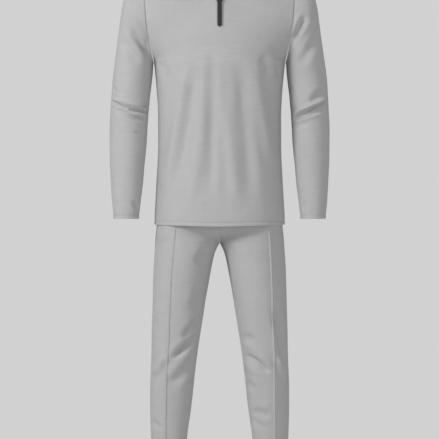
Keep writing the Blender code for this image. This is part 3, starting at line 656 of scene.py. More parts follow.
@dataclass(frozen=True)
class LoopedCloth(Finish):
    """Knitted or woven cloth whose loops follow the piece's flat layout."""

    row_pitch: float = 1.3 * MM
    column_pitch: float = 1.1 * MM
    relief: float = 0.3 * MM
    sheen: float = 0.25
    sheen_roughness: float = 0.45
    specular: float = 0.3
    blotch_scale: float = 26.0
    blotch_share: float = 0.35
    ramp_start: float = 0.35
    roughness_range: float = 0.08
    bump_strength: float = 0.6

    def dress(self, graph: Graph) -> None:
        """Adds loops, streaks, soft blotches and sheen."""
        flat = graph.add("UVMap", uv_map=CLOTH_UV)
        loops = graph.add("Group", node_tree=loops_group())
        graph.tree.links.new(flat.outputs[0], loops.inputs["Vector"])
        loops.inputs["Row Scale"].default_value = math.tau / self.row_pitch
        loops.inputs["Column Scale"].default_value = math.tau / self.column_pitch
        place = graph.add("TexCoord")
        blotch = graph.add("TexNoise", {"Vector": place.outputs["Object"], "Scale": self.blotch_scale,
                                        "Detail": 2.0})
        tone = graph.add("Math", {0: blotch.outputs["Fac"], 1: self.blotch_share,
                                  2: loops.outputs["Streaks"]}, operation="MULTIPLY_ADD")
        low, high = self.shades()
        ramp = graph.add("ValToRGB", {"Fac": tone.outputs[0]})
        ramp.color_ramp.elements[0].position = self.ramp_start
        ramp.color_ramp.elements[0].color = low
        ramp.color_ramp.elements[1].position = 1.0
        ramp.color_ramp.elements[1].color = high
        lowest = self.roughness - self.roughness_range / 2
        rough = graph.add("Math", {0: loops.outputs["Streaks"], 1: self.roughness_range, 2: lowest},
                          operation="MULTIPLY_ADD")
        bump = graph.add("Bump", {"Height": loops.outputs["Height"], "Strength": self.bump_strength,
                                  "Distance": self.relief})
        shader = graph.add("BsdfPrincipled", {"Base Color": ramp.outputs["Color"],
                                              "Roughness": rough.outputs[0],
                                              "Normal": bump.outputs["Normal"]})
        shader.inputs["Sheen Weight"].default_value = self.sheen
        shader.inputs["Sheen Roughness"].default_value = self.sheen_roughness
        shader.inputs["Specular IOR Level"].default_value = self.specular
        graph.add("OutputMaterial", {"Surface": shader.outputs[0]})


@dataclass(frozen=True)
class GrainedSurface(Finish):
    """Painted, moulded, spun or plastered surface with fine grain."""

    grain_scale: float = 900.0
    relief: float = 0.05 * MM
    metallic: float = 0.0
    coat: float = 0.0
    coat_roughness: float = 0.3
    ramp_ends: tuple[float, float] = (0.3, 0.7)
    roughness_range: float = 0.16
    bump_strength: float = 0.5

    def dress(self, graph: Graph) -> None:
        """Adds grain to the colour, the roughness and the relief."""
        place = graph.add("TexCoord")
        grain = graph.add("Group", node_tree=grain_group())
        graph.tree.links.new(place.outputs["Object"], grain.inputs["Vector"])
        grain.inputs["Scale"].default_value = self.grain_scale
        low, high = self.shades()
        ramp = graph.add("ValToRGB", {"Fac": grain.outputs["Drift"]})
        ramp.color_ramp.elements[0].position = self.ramp_ends[0]
        ramp.color_ramp.elements[0].color = low
        ramp.color_ramp.elements[1].position = self.ramp_ends[1]
        ramp.color_ramp.elements[1].color = high
        lowest = self.roughness - self.roughness_range / 2
        rough = graph.add("Math", {0: grain.outputs["Value"], 1: self.roughness_range, 2: lowest},
                          operation="MULTIPLY_ADD")
        bump = graph.add("Bump", {"Height": grain.outputs["Value"], "Strength": self.bump_strength,
                                  "Distance": self.relief})
        shader = graph.add("BsdfPrincipled", {"Base Color": ramp.outputs["Color"],
                                              "Roughness": rough.outputs[0],
                                              "Normal": bump.outputs["Normal"]})
        shader.inputs["Metallic"].default_value = self.metallic
        shader.inputs["Coat Weight"].default_value = self.coat
        shader.inputs["Coat Roughness"].default_value = self.coat_roughness
        graph.add("OutputMaterial", {"Surface": shader.outputs[0]})


KNIT = LoopedCloth("grey_knit", (0.47, 0.47, 0.475), 0.85, 0.07)
TAPE = LoopedCloth("woven_tape", (0.40, 0.40, 0.405), 0.80, 0.05, 0.9 * MM, 0.6 * MM, 0.12 * MM, 0.1)
THREAD = GrainedSurface("sewing_thread", (0.40, 0.40, 0.405), 0.7, 0.04, 2500.0, 0.04 * MM)
COIL = GrainedSurface("zip_coil", (0.30, 0.30, 0.31), 0.45, 0.06, 1500.0, 0.03 * MM)
PAINTED_METAL = GrainedSurface("black_painted_metal", (0.045, 0.045, 0.050), 0.35, 0.12, 1400.0,
                               0.02 * MM, 0.9, 0.2)
BLACK_PLASTIC = GrainedSurface("black_moulded_plastic", (0.018, 0.018, 0.020), 0.45, 0.15, 1100.0,
                               0.04 * MM)
PALE_FLOOR = GrainedSurface("pale_floor", (0.62, 0.62, 0.62), 0.9, 0.02, 6.0, 0.2 * MM)


@dataclass(frozen=True)
class Neckline:
    """Ellipse round the neck's base, lower at the front."""

    half_width: float = 0.080
    seam_y: float = 0.010
    front_y: float = -0.075
    front_drop: float = 0.079
    back_y: float = 0.062
    back_drop: float = 0.018
    slit_half_width: float = 0.003

    def points(self, share: np.ndarray, face: Face) -> np.ndarray:
        """Points of the left half.

        Args:
            share: 0 at the middle, 1 at the shoulder seam.
            face: front or back half.

        Returns:
            Points as (count, 3).
        """
        turn = share * math.pi / 2
        front = face is Face.FRONT
        middle_y = self.front_y if front else self.back_y
        drop = self.front_drop if front else self.back_drop
        start = self.slit_half_width if front else 0.0
        x = start + (self.half_width - start) * np.sin(turn)
        y = self.seam_y + (middle_y - self.seam_y) * np.cos(turn)
        return np.stack([x, y, -drop * np.cos(turn)], axis=-1)


NECKLINE = Neckline()


@dataclass(frozen=True)
class Tube:
    """Table of rings down a sleeve: outer and inner points, middle and half depth of each."""

    rings: tuple[tuple[float, ...], ...]
    bow: float = 0.008
    bow_rings: float = 3.0
    start: float = SEAM_GAP * 1.5

    def points(self, row: np.ndarray, turn: np.ndarray) -> np.ndarray:
        """Points of the left sleeve.

        Args:
            row: places down the sleeve, counted in rings.
            turn: angles round it, 0 outward and a quarter turn to the front.

        Returns:
            Points as (rows, turns, 3).
        """
        fields = through(np.array(self.rings), row).T[..., None]
        outer_x, outer_z, inner_x, inner_z, middle_y, half_depth = fields
        across = (1.0 + np.cos(turn)[None]) / 2
        bow = self.bow * np.maximum(0.0, 1.0 - row / self.bow_rings)[:, None]
        first = self.start * np.maximum(0.0, 1.0 - row)[:, None]
        x = mix(inner_x, outer_x, across) + bow * np.sin(turn)[None] ** 2 + first
        z = mix(inner_z, outer_z, across)
        y = middle_y - half_depth * np.sin(turn)[None]
        return np.stack([x, y, z], axis=-1)


SHOULDER_Z = -0.052
UNDERARM_X = 0.1805
UNDERARM_Z = -0.272
ARMHOLE_Y = 0.003
SLEEVE = Tube((
    (0.2060, SHOULDER_Z, UNDERARM_X, UNDERARM_Z, ARMHOLE_Y, 0.065),
    (0.2390, -0.0650, 0.1818, -0.2770, 0.003, 0.066),
    (0.2600, -0.0930, 0.1825, -0.2830, 0.003, 0.067),
    (0.2695, -0.1300, 0.1830, -0.2900, 0.003, 0.067),
    (0.2760, -0.1800, 0.1835, -0.2980, 0.003, 0.067),
    (0.2830, -0.2300, 0.1845, -0.3100, 0.003, 0.067),
    (0.2900, -0.2800, 0.1865, -0.3270, 0.003, 0.066),
    (0.2950, -0.3240, 0.1890, -0.3480, 0.002, 0.065),
    (0.2970, -0.3560, 0.1915, -0.3690, 0.000, 0.064),
    (0.2985, -0.3780, 0.1930, -0.3860, -0.001, 0.063),
    (0.2993, -0.3960, 0.1945, -0.4010, -0.002, 0.062),
    (0.3000, -0.4130, 0.1957, -0.4160, -0.003, 0.061),
    (0.3013, -0.4320, 0.1967, -0.4330, -0.004, 0.060),
    (0.3020, -0.4600, 0.1985, -0.4600, -0.007, 0.058),
    (0.3015, -0.5050, 0.2010, -0.5050, -0.012, 0.056),
    (0.3008, -0.5550, 0.2062, -0.5550, -0.019, 0.053),
    (0.2988, -0.6030, 0.2102, -0.6030, -0.026, 0.049),
    (0.2957, -0.6500, 0.2158, -0.6500, -0.034, 0.045),
    (0.2925, -0.6850, 0.2198, -0.6850, -0.039, 0.042),
    (0.2912, -0.7037, 0.2216, -0.7037, -0.042, 0.040),
))


@dataclass
class Pullover:
    """Front, back and sleeves of the pullover, with their seams and sewn hems."""

    fullness: float = 0.62
    slit_row: int = 12
    underarm_row: int = 9
    neck_row: int = 14
    last_row: int = 19
    side_rows: tuple[tuple[float, ...], ...] = (
        (0.1788, -0.7189), (0.1786, -0.6900), (0.1755, -0.6400), (0.1722, -0.5800), (0.1694, -0.5200),
        (0.1691, -0.4600), (0.1695, -0.4000), (0.1730, -0.3450), (0.1772, -0.3000), (UNDERARM_X, UNDERARM_Z),
    )
    front_middle: tuple[tuple[float, float], ...] = (
        (-0.1280, -0.7252), (-0.1285, -0.6930), (-0.1275, -0.6415), (-0.1250, -0.5800), (-0.1235, -0.5200),
        (-0.1225, -0.4600), (-0.1245, -0.4000), (-0.1265, -0.3450), (-0.1275, -0.3000), (-0.1270, -0.2720),
        (-0.1235, -0.2410), (-0.1185, -0.2100), (-0.1120, -0.1790), (-0.0935, -0.1290), (-0.0750, -0.0790),
    )
    back_middle: tuple[tuple[float, float], ...] = (
        (0.1310, -0.7252), (0.1310, -0.6930), (0.1280, -0.6415), (0.1185, -0.5800), (0.1080, -0.5200),
        (0.1030, -0.4600), (0.1060, -0.4000), (0.1130, -0.3450), (0.1170, -0.3000), (0.1180, -0.2720),
        (0.1170, -0.2212), (0.1120, -0.1704), (0.1010, -0.1196), (0.0840, -0.0688), (0.0620, -0.0180),
    )
    front_creases: tuple[Crease, ...] = (
        Crease(((-0.093, -0.272), (-0.123, -0.487), (-0.156, -0.624)), 0.019, 2.6 * MM),
        Crease(((-0.040, -0.344), (-0.054, -0.487), (-0.082, -0.693)), 0.021, 3.0 * MM),
        Crease(((0.015, -0.344), (0.028, -0.487), (0.048, -0.693)), 0.019, 2.6 * MM),
        Crease(((0.089, -0.261), (0.125, -0.445), (0.152, -0.583)), 0.021, 2.8 * MM),
        Crease(((-0.062, -0.261), (-0.095, -0.487), (-0.137, -0.671)), 0.019, -3.2 * MM),
        Crease(((-0.021, -0.212), (-0.021, -0.487), (-0.027, -0.693)), 0.018, -2.6 * MM),
        Crease(((0.048, -0.239), (0.070, -0.445), (0.089, -0.693)), 0.021, -3.2 * MM),
        Crease(((0.111, -0.253), (0.144, -0.308)), 0.018, -2.4 * MM),
        Crease(((-0.175, -0.600), (-0.160, -0.622)), 0.007, -1.6 * MM),
        Crease(((0.158, -0.270), (0.166, -0.330)), 0.012, -1.8 * MM),
        Crease(((-0.160, -0.272), (-0.140, -0.330)), 0.014, -1.8 * MM),
    )
    back_creases: tuple[Crease, ...] = (
        Crease(((-0.085, -0.230), (-0.108, -0.440), (-0.140, -0.640)), 0.021, 2.8 * MM),
        Crease(((-0.010, -0.300), (-0.022, -0.470), (-0.046, -0.690)), 0.022, 3.0 * MM),
        Crease(((0.078, -0.260), (0.102, -0.470), (0.118, -0.660)), 0.021, 2.8 * MM),
        Crease(((-0.048, -0.280), (-0.066, -0.480), (-0.094, -0.690)), 0.019, -3.0 * MM),
        Crease(((0.036, -0.250), (0.048, -0.460), (0.070, -0.690)), 0.020, -3.0 * MM),
        Crease(((-0.120, -0.395), (0.000, -0.420), (0.115, -0.400)), 0.017, -3.0 * MM),
        Crease(((-0.090, -0.350), (0.010, -0.366), (0.080, -0.352)), 0.014, -1.6 * MM),
    )
    right_sleeve_front: tuple[Crease, ...] = (
        Crease(((-0.252, -0.170), (-0.181, -0.267)), 0.013, -4.2 * MM),
        Crease(((-0.274, -0.206), (-0.219, -0.283)), 0.016, -2.2 * MM),
        Crease(((-0.299, -0.380), (-0.258, -0.402), (-0.197, -0.410)), 0.010, -2.0 * MM),
        Crease(((-0.300, -0.380), (-0.282, -0.389), (-0.256, -0.404)), 0.0058, -2.3 * MM, 0.5, (0.05, 0.2)),
        Crease(((-0.251, -0.398), (-0.238, -0.407), (-0.196, -0.411)), 0.0058, -2.6 * MM, 0.5, (0.2, 0.05)),
        Crease(((-0.215, -0.394), (-0.196, -0.397)), 0.0055, -2.0 * MM, 0.4, (0.3, 0.05)),
        Crease(((-0.296, -0.370), (-0.258, -0.386), (-0.197, -0.401)), 0.0065, 1.4 * MM, 0.3, (0.1, 0.1)),
        Crease(((-0.288, -0.366), (-0.230, -0.386), (-0.197, -0.389)), 0.011, 2.6 * MM),
        Crease(((-0.296, -0.401), (-0.252, -0.416), (-0.197, -0.434)), 0.011, -2.0 * MM),
        Crease(((-0.290, -0.401), (-0.252, -0.415), (-0.230, -0.428), (-0.197, -0.432)), 0.0075, -2.2 * MM,
               0.4, (0.2, 0.1)),
        Crease(((-0.202, -0.208), (-0.184, -0.240)), 0.008, -2.6 * MM),
        Crease(((-0.298, -0.334), (-0.284, -0.354)), 0.006, -1.4 * MM),
        Crease(((-0.236, -0.466), (-0.212, -0.471)), 0.007, -1.0 * MM),
        Crease(((-0.238, -0.652), (-0.220, -0.688)), 0.009, -1.8 * MM),
    )
    left_sleeve_front: tuple[Crease, ...] = (
        Crease(((0.240, -0.143), (0.196, -0.220)), 0.012, -4.6 * MM),
        Crease(((0.272, -0.200), (0.214, -0.290)), 0.016, -2.2 * MM),
        Crease(((0.292, -0.345), (0.246, -0.385)), 0.013, -2.6 * MM),
        Crease(((0.295, -0.371), (0.224, -0.406), (0.202, -0.412)), 0.009, 2.4 * MM),
        Crease(((0.295, -0.386), (0.235, -0.416), (0.202, -0.433)), 0.011, -2.4 * MM),
        Crease(((0.297, -0.379), (0.235, -0.410), (0.202, -0.429)), 0.0058, -2.5 * MM, 0.5, (0.1, 0.1)),
        Crease(((0.286, -0.404), (0.235, -0.421), (0.202, -0.432)), 0.0058, -2.0 * MM, 0.4, (0.2, 0.1)),
        Crease(((0.250, -0.438), (0.200, -0.450)), 0.009, -1.2 * MM),
        Crease(((0.238, -0.652), (0.226, -0.684)), 0.010, -1.2 * MM),
    )
    right_sleeve_back: tuple[Crease, ...] = (
        Crease(((-0.244, -0.150), (-0.190, -0.240)), 0.014, -3.6 * MM),
        Crease(((-0.292, -0.392), (-0.246, -0.410), (-0.200, -0.424)), 0.011, -3.0 * MM),
        Crease(((-0.292, -0.352), (-0.240, -0.372), (-0.198, -0.378)), 0.013, 2.2 * MM),
        Crease(((-0.284, -0.250), (-0.230, -0.300)), 0.014, -1.6 * MM),
    )
    left_sleeve_back: tuple[Crease, ...] = (
        Crease(((0.250, -0.160), (0.190, -0.250)), 0.014, -3.6 * MM),
        Crease(((0.294, -0.384), (0.240, -0.400), (0.200, -0.426)), 0.011, -3.2 * MM),
        Crease(((0.290, -0.345), (0.236, -0.368), (0.198, -0.372)), 0.013, 2.2 * MM),
        Crease(((0.286, -0.262), (0.224, -0.306)), 0.014, -1.6 * MM),
    )
    sleeve_gain: float = 1.45
    sleeve_step: float = 2.8 * MM
    sleeve_girth: float = 0.36
    sleeve_turns: int = 24
    sleeve_fades: tuple[float, float] = (12 * MM, 8 * MM)
    sleeve_seam: tuple[float, float] = (0.7 * MM, 2.4 * MM)
    half_width: float = 0.24
    front_seed: float = 3.7
    back_seed: float = 9.1
    sleeve_seed: float = 5.3
    fold_fade: float = 14 * MM
    slack_fade: float = 10 * MM
    slit_end: float = 0.8 * MM
    shoulder_rows: float = 0.4
    shoulder_fade: float = 10.0
    armhole_power: float = 1.8
    armhole_reach: float = 0.35
    front_cut: Cut = Cut(0.56, 0.74, 0.331)
    back_cut: Cut = Cut(0.54, 0.74, 0.328)
    sleeve_cut: Cut = Cut(0.47, 0.66, 0.193)

    def starts(self, row: np.ndarray, face: Face) -> np.ndarray:
        """Points up the middle line, then along the neckline.

        Args:
            row: places up the body, counted in table rows.
            face: front or back.

        Returns:
            Points as (rows, 3).
        """
        middle = np.array(self.front_middle if face is Face.FRONT else self.back_middle)
        y, z = through(middle, np.minimum(row, self.neck_row)).T
        x = NECKLINE.slit_half_width if face is Face.FRONT else 0.0
        share = np.clip((row - self.neck_row) / (self.last_row - self.neck_row), 0.0, 1.0)
        points = np.stack([np.full(len(row), x), y, z], axis=-1)
        return np.where((row > self.neck_row)[:, None], NECKLINE.points(share, face), points)

    def ends(self, row: np.ndarray, face: Face) -> np.ndarray:
        """Points up the side seam, then round the armhole to the shoulder.

        Args:
            row: places up the body, counted in table rows.
            face: front or back.

        Returns:
            Points as (rows, 3).
        """
        x, z = through(np.array(self.side_rows), np.minimum(row, self.underarm_row)).T
        seam = np.stack([x, np.full(len(row), ARMHOLE_Y), z], axis=-1)
        turn = math.pi * np.clip((self.last_row - row) / (self.last_row - self.underarm_row), 0.0, 1.0)
        ring = SLEEVE.points(np.zeros(1), turn)[0] - Vector((SLEEVE.start, 0.0, 0.0))
        ring[:, 1] = ARMHOLE_Y + face.value * np.abs(ring[:, 1] - ARMHOLE_Y)
        points = np.where((row > self.underarm_row)[:, None], ring, seam)
        at_seam = np.maximum(1.0 - smooth_step(self.underarm_row, self.underarm_row + 0.5, row),
                             smooth_step(self.last_row - self.shoulder_rows, self.last_row, row))
        points[:, 1] += face.value * SEAM_GAP / 2 * at_seam
        return points

    def controls(self, row: np.ndarray, face: Face) -> np.ndarray:
        """Control points of the curves from the middle to the side seam or armhole.

        Args:
            row: places up the body, counted in table rows.
            face: front or back.

        Returns:
            Control points as (rows, 4, 3).
        """
        start, end = self.starts(row, face), self.ends(row, face)
        at_shoulder = smooth_step(self.last_row - self.shoulder_rows, self.last_row, row)
        start[:, 1] += face.value * SEAM_GAP / 2 * at_shoulder
        span = end - start
        low_in = start + span * np.array([self.fullness, 0.0, 1 / 3])
        low_out = end - span * np.array([0.0, self.fullness, 1 / 3])
        share = np.clip((self.last_row - row) / (self.last_row - self.underarm_row), 0.0, 1.0)
        turn = math.pi / 2 * share ** self.armhole_power
        chord = np.hypot(span[:, 0], span[:, 1])
        lean = span[:, 1] / 3 * np.clip(1.0 - share * self.shoulder_fade, 0.0, 1.0)
        reach_out = chord * self.armhole_reach
        high_in = start + np.stack([chord * mix(1 / 3, 0.5, share), lean, span[:, 2] / 3], axis=-1)
        high_out = end + np.stack([-reach_out * np.cos(turn), face.value * reach_out * np.sin(turn),
                                   -span[:, 2] / 3], axis=-1)
        high = smooth_step(self.underarm_row, self.underarm_row + 1.0, row)[:, None]
        return np.stack([start, mix(low_in, high_in, high), mix(low_out, high_out, high), end], axis=1)

    def half(self, face: Face, side: Side) -> Patch:
        """One half of the front or back, folded and with its seams and hem.

        Args:
            face: front or back.
            side: left or right half.

        Returns:
            The finished cloth.
        """
        whole = self.controls(np.arange(self.last_row + 1.0), face)
        length = table_length(whole)
        spans = np.linalg.norm(np.diff(whole, axis=0), axis=-1).mean(axis=-1)
        slit = float(spans[:self.slit_row].sum())
        also = (slit - self.slit_end, slit, slit + self.slit_end) if face is Face.FRONT else ()
        row = row_numbers(stations(length, HEM_STEPS, SEAM_STEPS, also), whole)
        controls = self.controls(row, face)
        if face is Face.FRONT:
            open_share = np.clip((row - self.slit_row) / (row[row > self.slit_row + 1e-4][0] - self.slit_row),
                                 0.0, 1.0)
            controls[:, 0, 0] = np.where(row > self.neck_row, controls[:, 0, 0],
                                         NECKLINE.slit_half_width * open_share)
        middle_steps = (0.0,) if face is Face.BACK else SEAM_STEPS
        stops = stations(self.half_width, middle_steps, SEAM_STEPS) / self.half_width
        places = bezier(controls, np.repeat(stops[None], len(row), axis=0))
        places[..., 0] *= side.value
        patch = Patch(places, -face.value * side.value)
        from_middle, from_side, from_hem, from_top = patch.from_edges()
        open_edge = (row > self.slit_row)[:, None] if face is Face.FRONT else (row > self.neck_row)[:, None]
        middle_edge = np.where(open_edge, from_middle, 1.0)
        nearest = np.minimum(np.minimum(from_side, from_top), middle_edge)
        fade = smooth_step(0.0, self.fold_fade, nearest)
        patch.fold(self.front_creases, self.back_creases, fade)
        seed = self.front_seed if face is Face.FRONT else self.back_seed
        patch.slacken(smooth_step(0.0, self.slack_fade, nearest), seed)
        patch.push(seam_dip(nearest) + hem_relief(from_hem))
        return patch

    def body(self, face: Face) -> tuple[bpy.types.Object, list[Patch]]:
        """The front or back as one piece with its two halves joined.

        Args:
            face: front or back.

        Returns:
            The piece, and its left and right halves.
        """
        halves = [self.half(face, side) for side in Side]
        shape = Shape()
        for patch, side in zip(halves, Side):
            closed = np.abs(patch.places[:, 0, 0]) < 0.05 * MM
            patch.places[closed, 0, 0] = 0.0
            shape.add_patch(patch, side is Side.RIGHT)
        shape.close_seams()
        name = "pullover_front" if face is Face.FRONT else "pullover_back"
        piece = shape.finish(name, KNIT, Slot.KNIT)
        thicken(piece, WALL, RIM)
        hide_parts("top_front" if face is Face.FRONT else "top_back")
        return piece, halves

    def sleeve(self, side: Side) -> tuple[bpy.types.Object, Patch]:
        """One sleeve, from its armhole seam to its sewn cuff.

        Args:
            side: the wearer's side.

        Returns:
            The piece and its cloth.
        """
        rings = np.arange(float(len(SLEEVE.rings)))
        around = np.linspace(0.0, math.tau, self.sleeve_turns)
        table = SLEEVE.points(rings, around)
        row = row_numbers(stations(table_length(table), SEAM_STEPS, HEM_STEPS, (), self.sleeve_step), table)
        share = stations(self.sleeve_girth, SEAM_STEPS, SEAM_STEPS) / self.sleeve_girth
        turn = math.pi + share * math.tau
        places = SLEEVE.points(row, turn)
        places[..., 0] *= side.value
        patch = Patch(places, side.value)
        from_seam, to_seam, from_top, from_hem = patch.from_edges()
        seam = np.minimum(from_seam, to_seam)
        top_fade, seam_fade = self.sleeve_fades
        fade = smooth_step(0.0, top_fade, from_top) * smooth_step(0.0, seam_fade, seam)
        creases = {
            Side.RIGHT: (self.right_sleeve_front, self.right_sleeve_back),
            Side.LEFT: (self.left_sleeve_front, self.left_sleeve_back),
        }
        patch.fold(*creases[side], fade * self.sleeve_gain)
        patch.slacken(fade, self.sleeve_seed * side.value)
        patch.push(seam_dip(from_top) + seam_dip(seam, *self.sleeve_seam) + hem_relief(from_hem))
        patch.places[:, -1] = patch.places[:, 0]
        shape = Shape()
        shape.add_patch(patch)
        shape.close_seams()
        piece = shape.finish(f"pullover_sleeve_{side.word}", KNIT, Slot.KNIT)
        thicken(piece, WALL, RIM)
        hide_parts(f"sleeve_{side.word}")
        return piece, patch

    def build(self) -> None:
        """Builds the pullover's cloth and its stitching."""
        for face, cut in ((Face.FRONT, self.front_cut), (Face.BACK, self.back_cut)):
            piece, halves = self.body(face)
            stitches = sew_hem(f"{piece.name}_hem_stitches", halves, from_start=True)
            cut.state(piece, Hold.HUNG, ["stand_collar"], [stitches])
        for side in Side:
            piece, patch = self.sleeve(side)
            stitches = sew_hem(f"{piece.name}_cuff_stitches", [patch], from_start=False)
            self.sleeve_cut.state(piece, Hold.HUNG, ["pullover_front", "pullover_back"], [stitches])


def sew_hem(name: str, patches: Sequence[Patch], from_start: bool) -> bpy.types.Object:
    """Two close rows of stitches round a hem.

    Args:
        name: the stitches' name.
        patches: the cloth that the hem runs round.
        from_start: the hem is at the patches' first row, and otherwise at their last.

    Returns:
        The stitches.
    """
    shape = Shape()
    for patch in patches:
        normals = patch.outward()
        _, _, from_first, from_last = patch.from_edges()
        distance = (from_first if from_start else from_last).mean(axis=1)
        order = np.argsort(distance)
        for line in (HEM_LINE - STITCH_ROWS, HEM_LINE + STITCH_ROWS):
            above = int(np.searchsorted(distance[order], line))
            low, high = order[above - 1], order[above]
            share = (line - distance[low]) / (distance[high] - distance[low])
            shape.sew(mix(patch.places[low], patch.places[high], share), normals[low])
    return shape.finish(name, THREAD, Slot.KNIT)


@dataclass
class Trousers:
    """Four trouser panels with a pintuck down each front, sewn hems and an elastic band."""

    fullness: float = 0.62
    half_gap: float = 0.02 * MM
    seam_y: float = 0.005
    crotch_row: int = 7
    hip_rows: tuple[tuple[float, ...], ...] = (
        (-0.5400, -0.1030, 0.0920, -0.5400, 0.1560, -0.080, 0.073, 1.00),
        (-0.6000, -0.1070, 0.1060, -0.6000, 0.1640, -0.084, 0.083, 1.00),
        (-0.6600, -0.1060, 0.1150, -0.6500, 0.1685, -0.086, 0.091, 1.00),
        (-0.7050, -0.1000, 0.1130, -0.6850, 0.1710, -0.0895, 0.093, 0.85),
        (-0.7330, -0.0860, 0.1020, -0.7100, 0.1723, -0.0925, 0.096, 0.65),
        (-0.7520, -0.0620, 0.0800, -0.7320, 0.1736, -0.095, 0.101, 0.40),
        (-0.7650, -0.0300, 0.0450, -0.7520, 0.1760, -0.099, 0.106, 0.15),
        (-0.7686, 0.0050, 0.0050, -0.7700, 0.1772, -0.101, 0.108, 0.00),
    )
    leg_rows: tuple[tuple[float, ...], ...] = (
        (-0.7950, 0.0125, 0.1788, -0.1010, 0.1090),
        (-0.8250, 0.0200, 0.1810, -0.0990, 0.1050),
        (-0.8700, 0.0285, 0.1828, -0.0950, 0.0960),
        (-0.9200, 0.0375, 0.1842, -0.0900, 0.0860),
        (-0.9700, 0.0453, 0.1856, -0.0840, 0.0770),
        (-1.0150, 0.0523, 0.1868, -0.0780, 0.0700),
        (-1.0500, 0.0577, 0.1872, -0.0740, 0.0660),
        (-1.0850, 0.0625, 0.1880, -0.0710, 0.0640),
        (-1.1200, 0.0670, 0.1895, -0.0670, 0.0650),
        (-1.1550, 0.0708, 0.1908, -0.0630, 0.0670),
        (-1.1950, 0.0750, 0.1911, -0.0600, 0.0680),
        (-1.2400, 0.0805, 0.1909, -0.0560, 0.0670),
        (-1.2850, 0.0872, 0.1896, -0.0530, 0.0640),
        (-1.3300, 0.0915, 0.1882, -0.0510, 0.0600),
        (-1.3900, 0.0950, 0.1876, -0.0490, 0.0550),
        (-1.4500, 0.0970, 0.1872, -0.0470, 0.0510),
        (-1.5070, 0.0980, 0.1870, -0.0460, 0.0490),
    )
    right_tuck: tuple[tuple[float, float], ...] = (
        (-1.507, 0.147), (-1.284, 0.149), (-1.169, 0.147), (-1.092, 0.144), (-1.034, 0.140),
        (-0.938, 0.137), (-0.861, 0.133), (-0.726, 0.121), (-0.540, 0.112),
    )
    left_tuck: tuple[tuple[float, float], ...] = (
        (-1.507, 0.149), (-1.284, 0.151), (-1.169, 0.151), (-1.092, 0.150), (-1.015, 0.146),
        (-0.899, 0.144), (-0.784, 0.139), (-0.726, 0.135), (-0.540, 0.122),
    )
    tuck_height: float = 2.8 * MM
    tuck_flat: float = 0.9 * MM
    tuck_foot: float = 2.7 * MM
    right_front: tuple[Crease, ...] = (
        Crease(((-0.050, -0.971), (-0.104, -1.037)), 0.015, -3.0 * MM),
        Crease(((-0.051, -1.015), (-0.100, -1.060), (-0.137, -1.092)), 0.014, -4.4 * MM),
        Crease(((-0.051, -1.013), (-0.095, -1.058), (-0.137, -1.092)), 0.0070, -2.0 * MM, 0.5),
        Crease(((-0.050, -0.969), (-0.080, -1.004), (-0.104, -1.037)), 0.0075, -1.3 * MM, 0.4),
        Crease(((-0.146, -1.073), (-0.184, -1.136)), 0.013, 3.0 * MM),
        Crease(((-0.057, -1.075), (-0.142, -1.169)), 0.017, -3.0 * MM),
        Crease(((-0.027, -0.784), (-0.065, -0.833)), 0.018, -2.6 * MM),
        Crease(((-0.090, -1.400), (-0.160, -1.440)), 0.018, -2.8 * MM),
        Crease(((-0.158, -1.281), (-0.188, -1.255)), 0.009, -1.6 * MM),
        Crease(((-0.048, -0.890), (-0.078, -0.960)), 0.016, -1.6 * MM),
    )
    left_front: tuple[Crease, ...] = (
        Crease(((0.155, -1.075), (0.188, -1.149)), 0.013, 3.0 * MM),
        Crease(((0.147, -0.938), (0.187, -1.130)), 0.014, -3.6 * MM),
        Crease(((0.068, -1.074), (0.105, -1.098), (0.141, -1.130)), 0.0070, -1.8 * MM, 0.4),
        Crease(((0.066, -1.073), (0.143, -1.130)), 0.016, -3.6 * MM),
        Crease(((0.061, -1.028), (0.100, -1.037)), 0.014, -2.0 * MM),
        Crease(((0.085, -1.232), (0.143, -1.244)), 0.014, -2.4 * MM),
        Crease(((0.100, -1.390), (0.165, -1.430)), 0.018, -2.8 * MM),
        Crease(((0.070, -1.149), (0.100, -1.173)), 0.012, -1.8 * MM),
        Crease(((0.088, -1.244), (0.120, -1.284)), 0.013, -1.8 * MM),
    )
    right_back: tuple[Crease, ...] = (
        Crease(((-0.042, -0.853), (-0.122, -0.898)), 0.021, -3.2 * MM),
        Crease(((-0.062, -1.043), (-0.171, -1.082)), 0.018, -3.5 * MM),
        Crease(((-0.068, -1.093), (-0.166, -1.138)), 0.017, -3.1 * MM),
        Crease(((-0.098, -1.374), (-0.169, -1.402)), 0.019, -2.7 * MM),
    )
    left_back: tuple[Crease, ...] = (
        Crease(((0.045, -0.860), (0.130, -0.890)), 0.020, -3.4 * MM),
        Crease(((0.066, -1.060), (0.172, -1.070)), 0.017, -3.4 * MM),
        Crease(((0.072, -1.100), (0.160, -1.150)), 0.018, -3.0 * MM),
        Crease(((0.104, -1.380), (0.170, -1.420)), 0.018, -2.8 * MM),
    )
    tuck_columns: tuple[float, ...] = (-5.0, -3.6, -2.7, -1.9, -1.1, -0.4, 0.4, 1.1, 1.9, 2.7, 3.6, 5.0)
    panel_width: float = 0.20
    inner_width: float = 0.125
    outer_width: float = 0.075
    seed: float = 2.1
    fold_gain: float = 1.25
    seam_fade: float = 12 * MM
    top_fade: float = 20 * MM
    seam: tuple[float, float] = (0.9 * MM, 3.0 * MM)
    band_top: float = -0.500
    band_lean: float = 0.985
    band_curve_steps: int = 90
    band_steps: int = 560
    band_wall: float = 2.4 * MM
    band_rim: float = 0.7 * MM
    gather_pitch: float = 9.0 * MM
    gather_shift: float = 0.8
    gather_drift: float = 41.0
    gather_height: float = 0.7 * MM
    gather_fade: float = 8 * MM
    front_cut: Cut = Cut(0.27, 0.98, 0.217)
    back_cut: Cut = Cut(0.27, 0.98, 0.203)
    band_cut: Cut = Cut(0.87, 0.041, 0.0355)

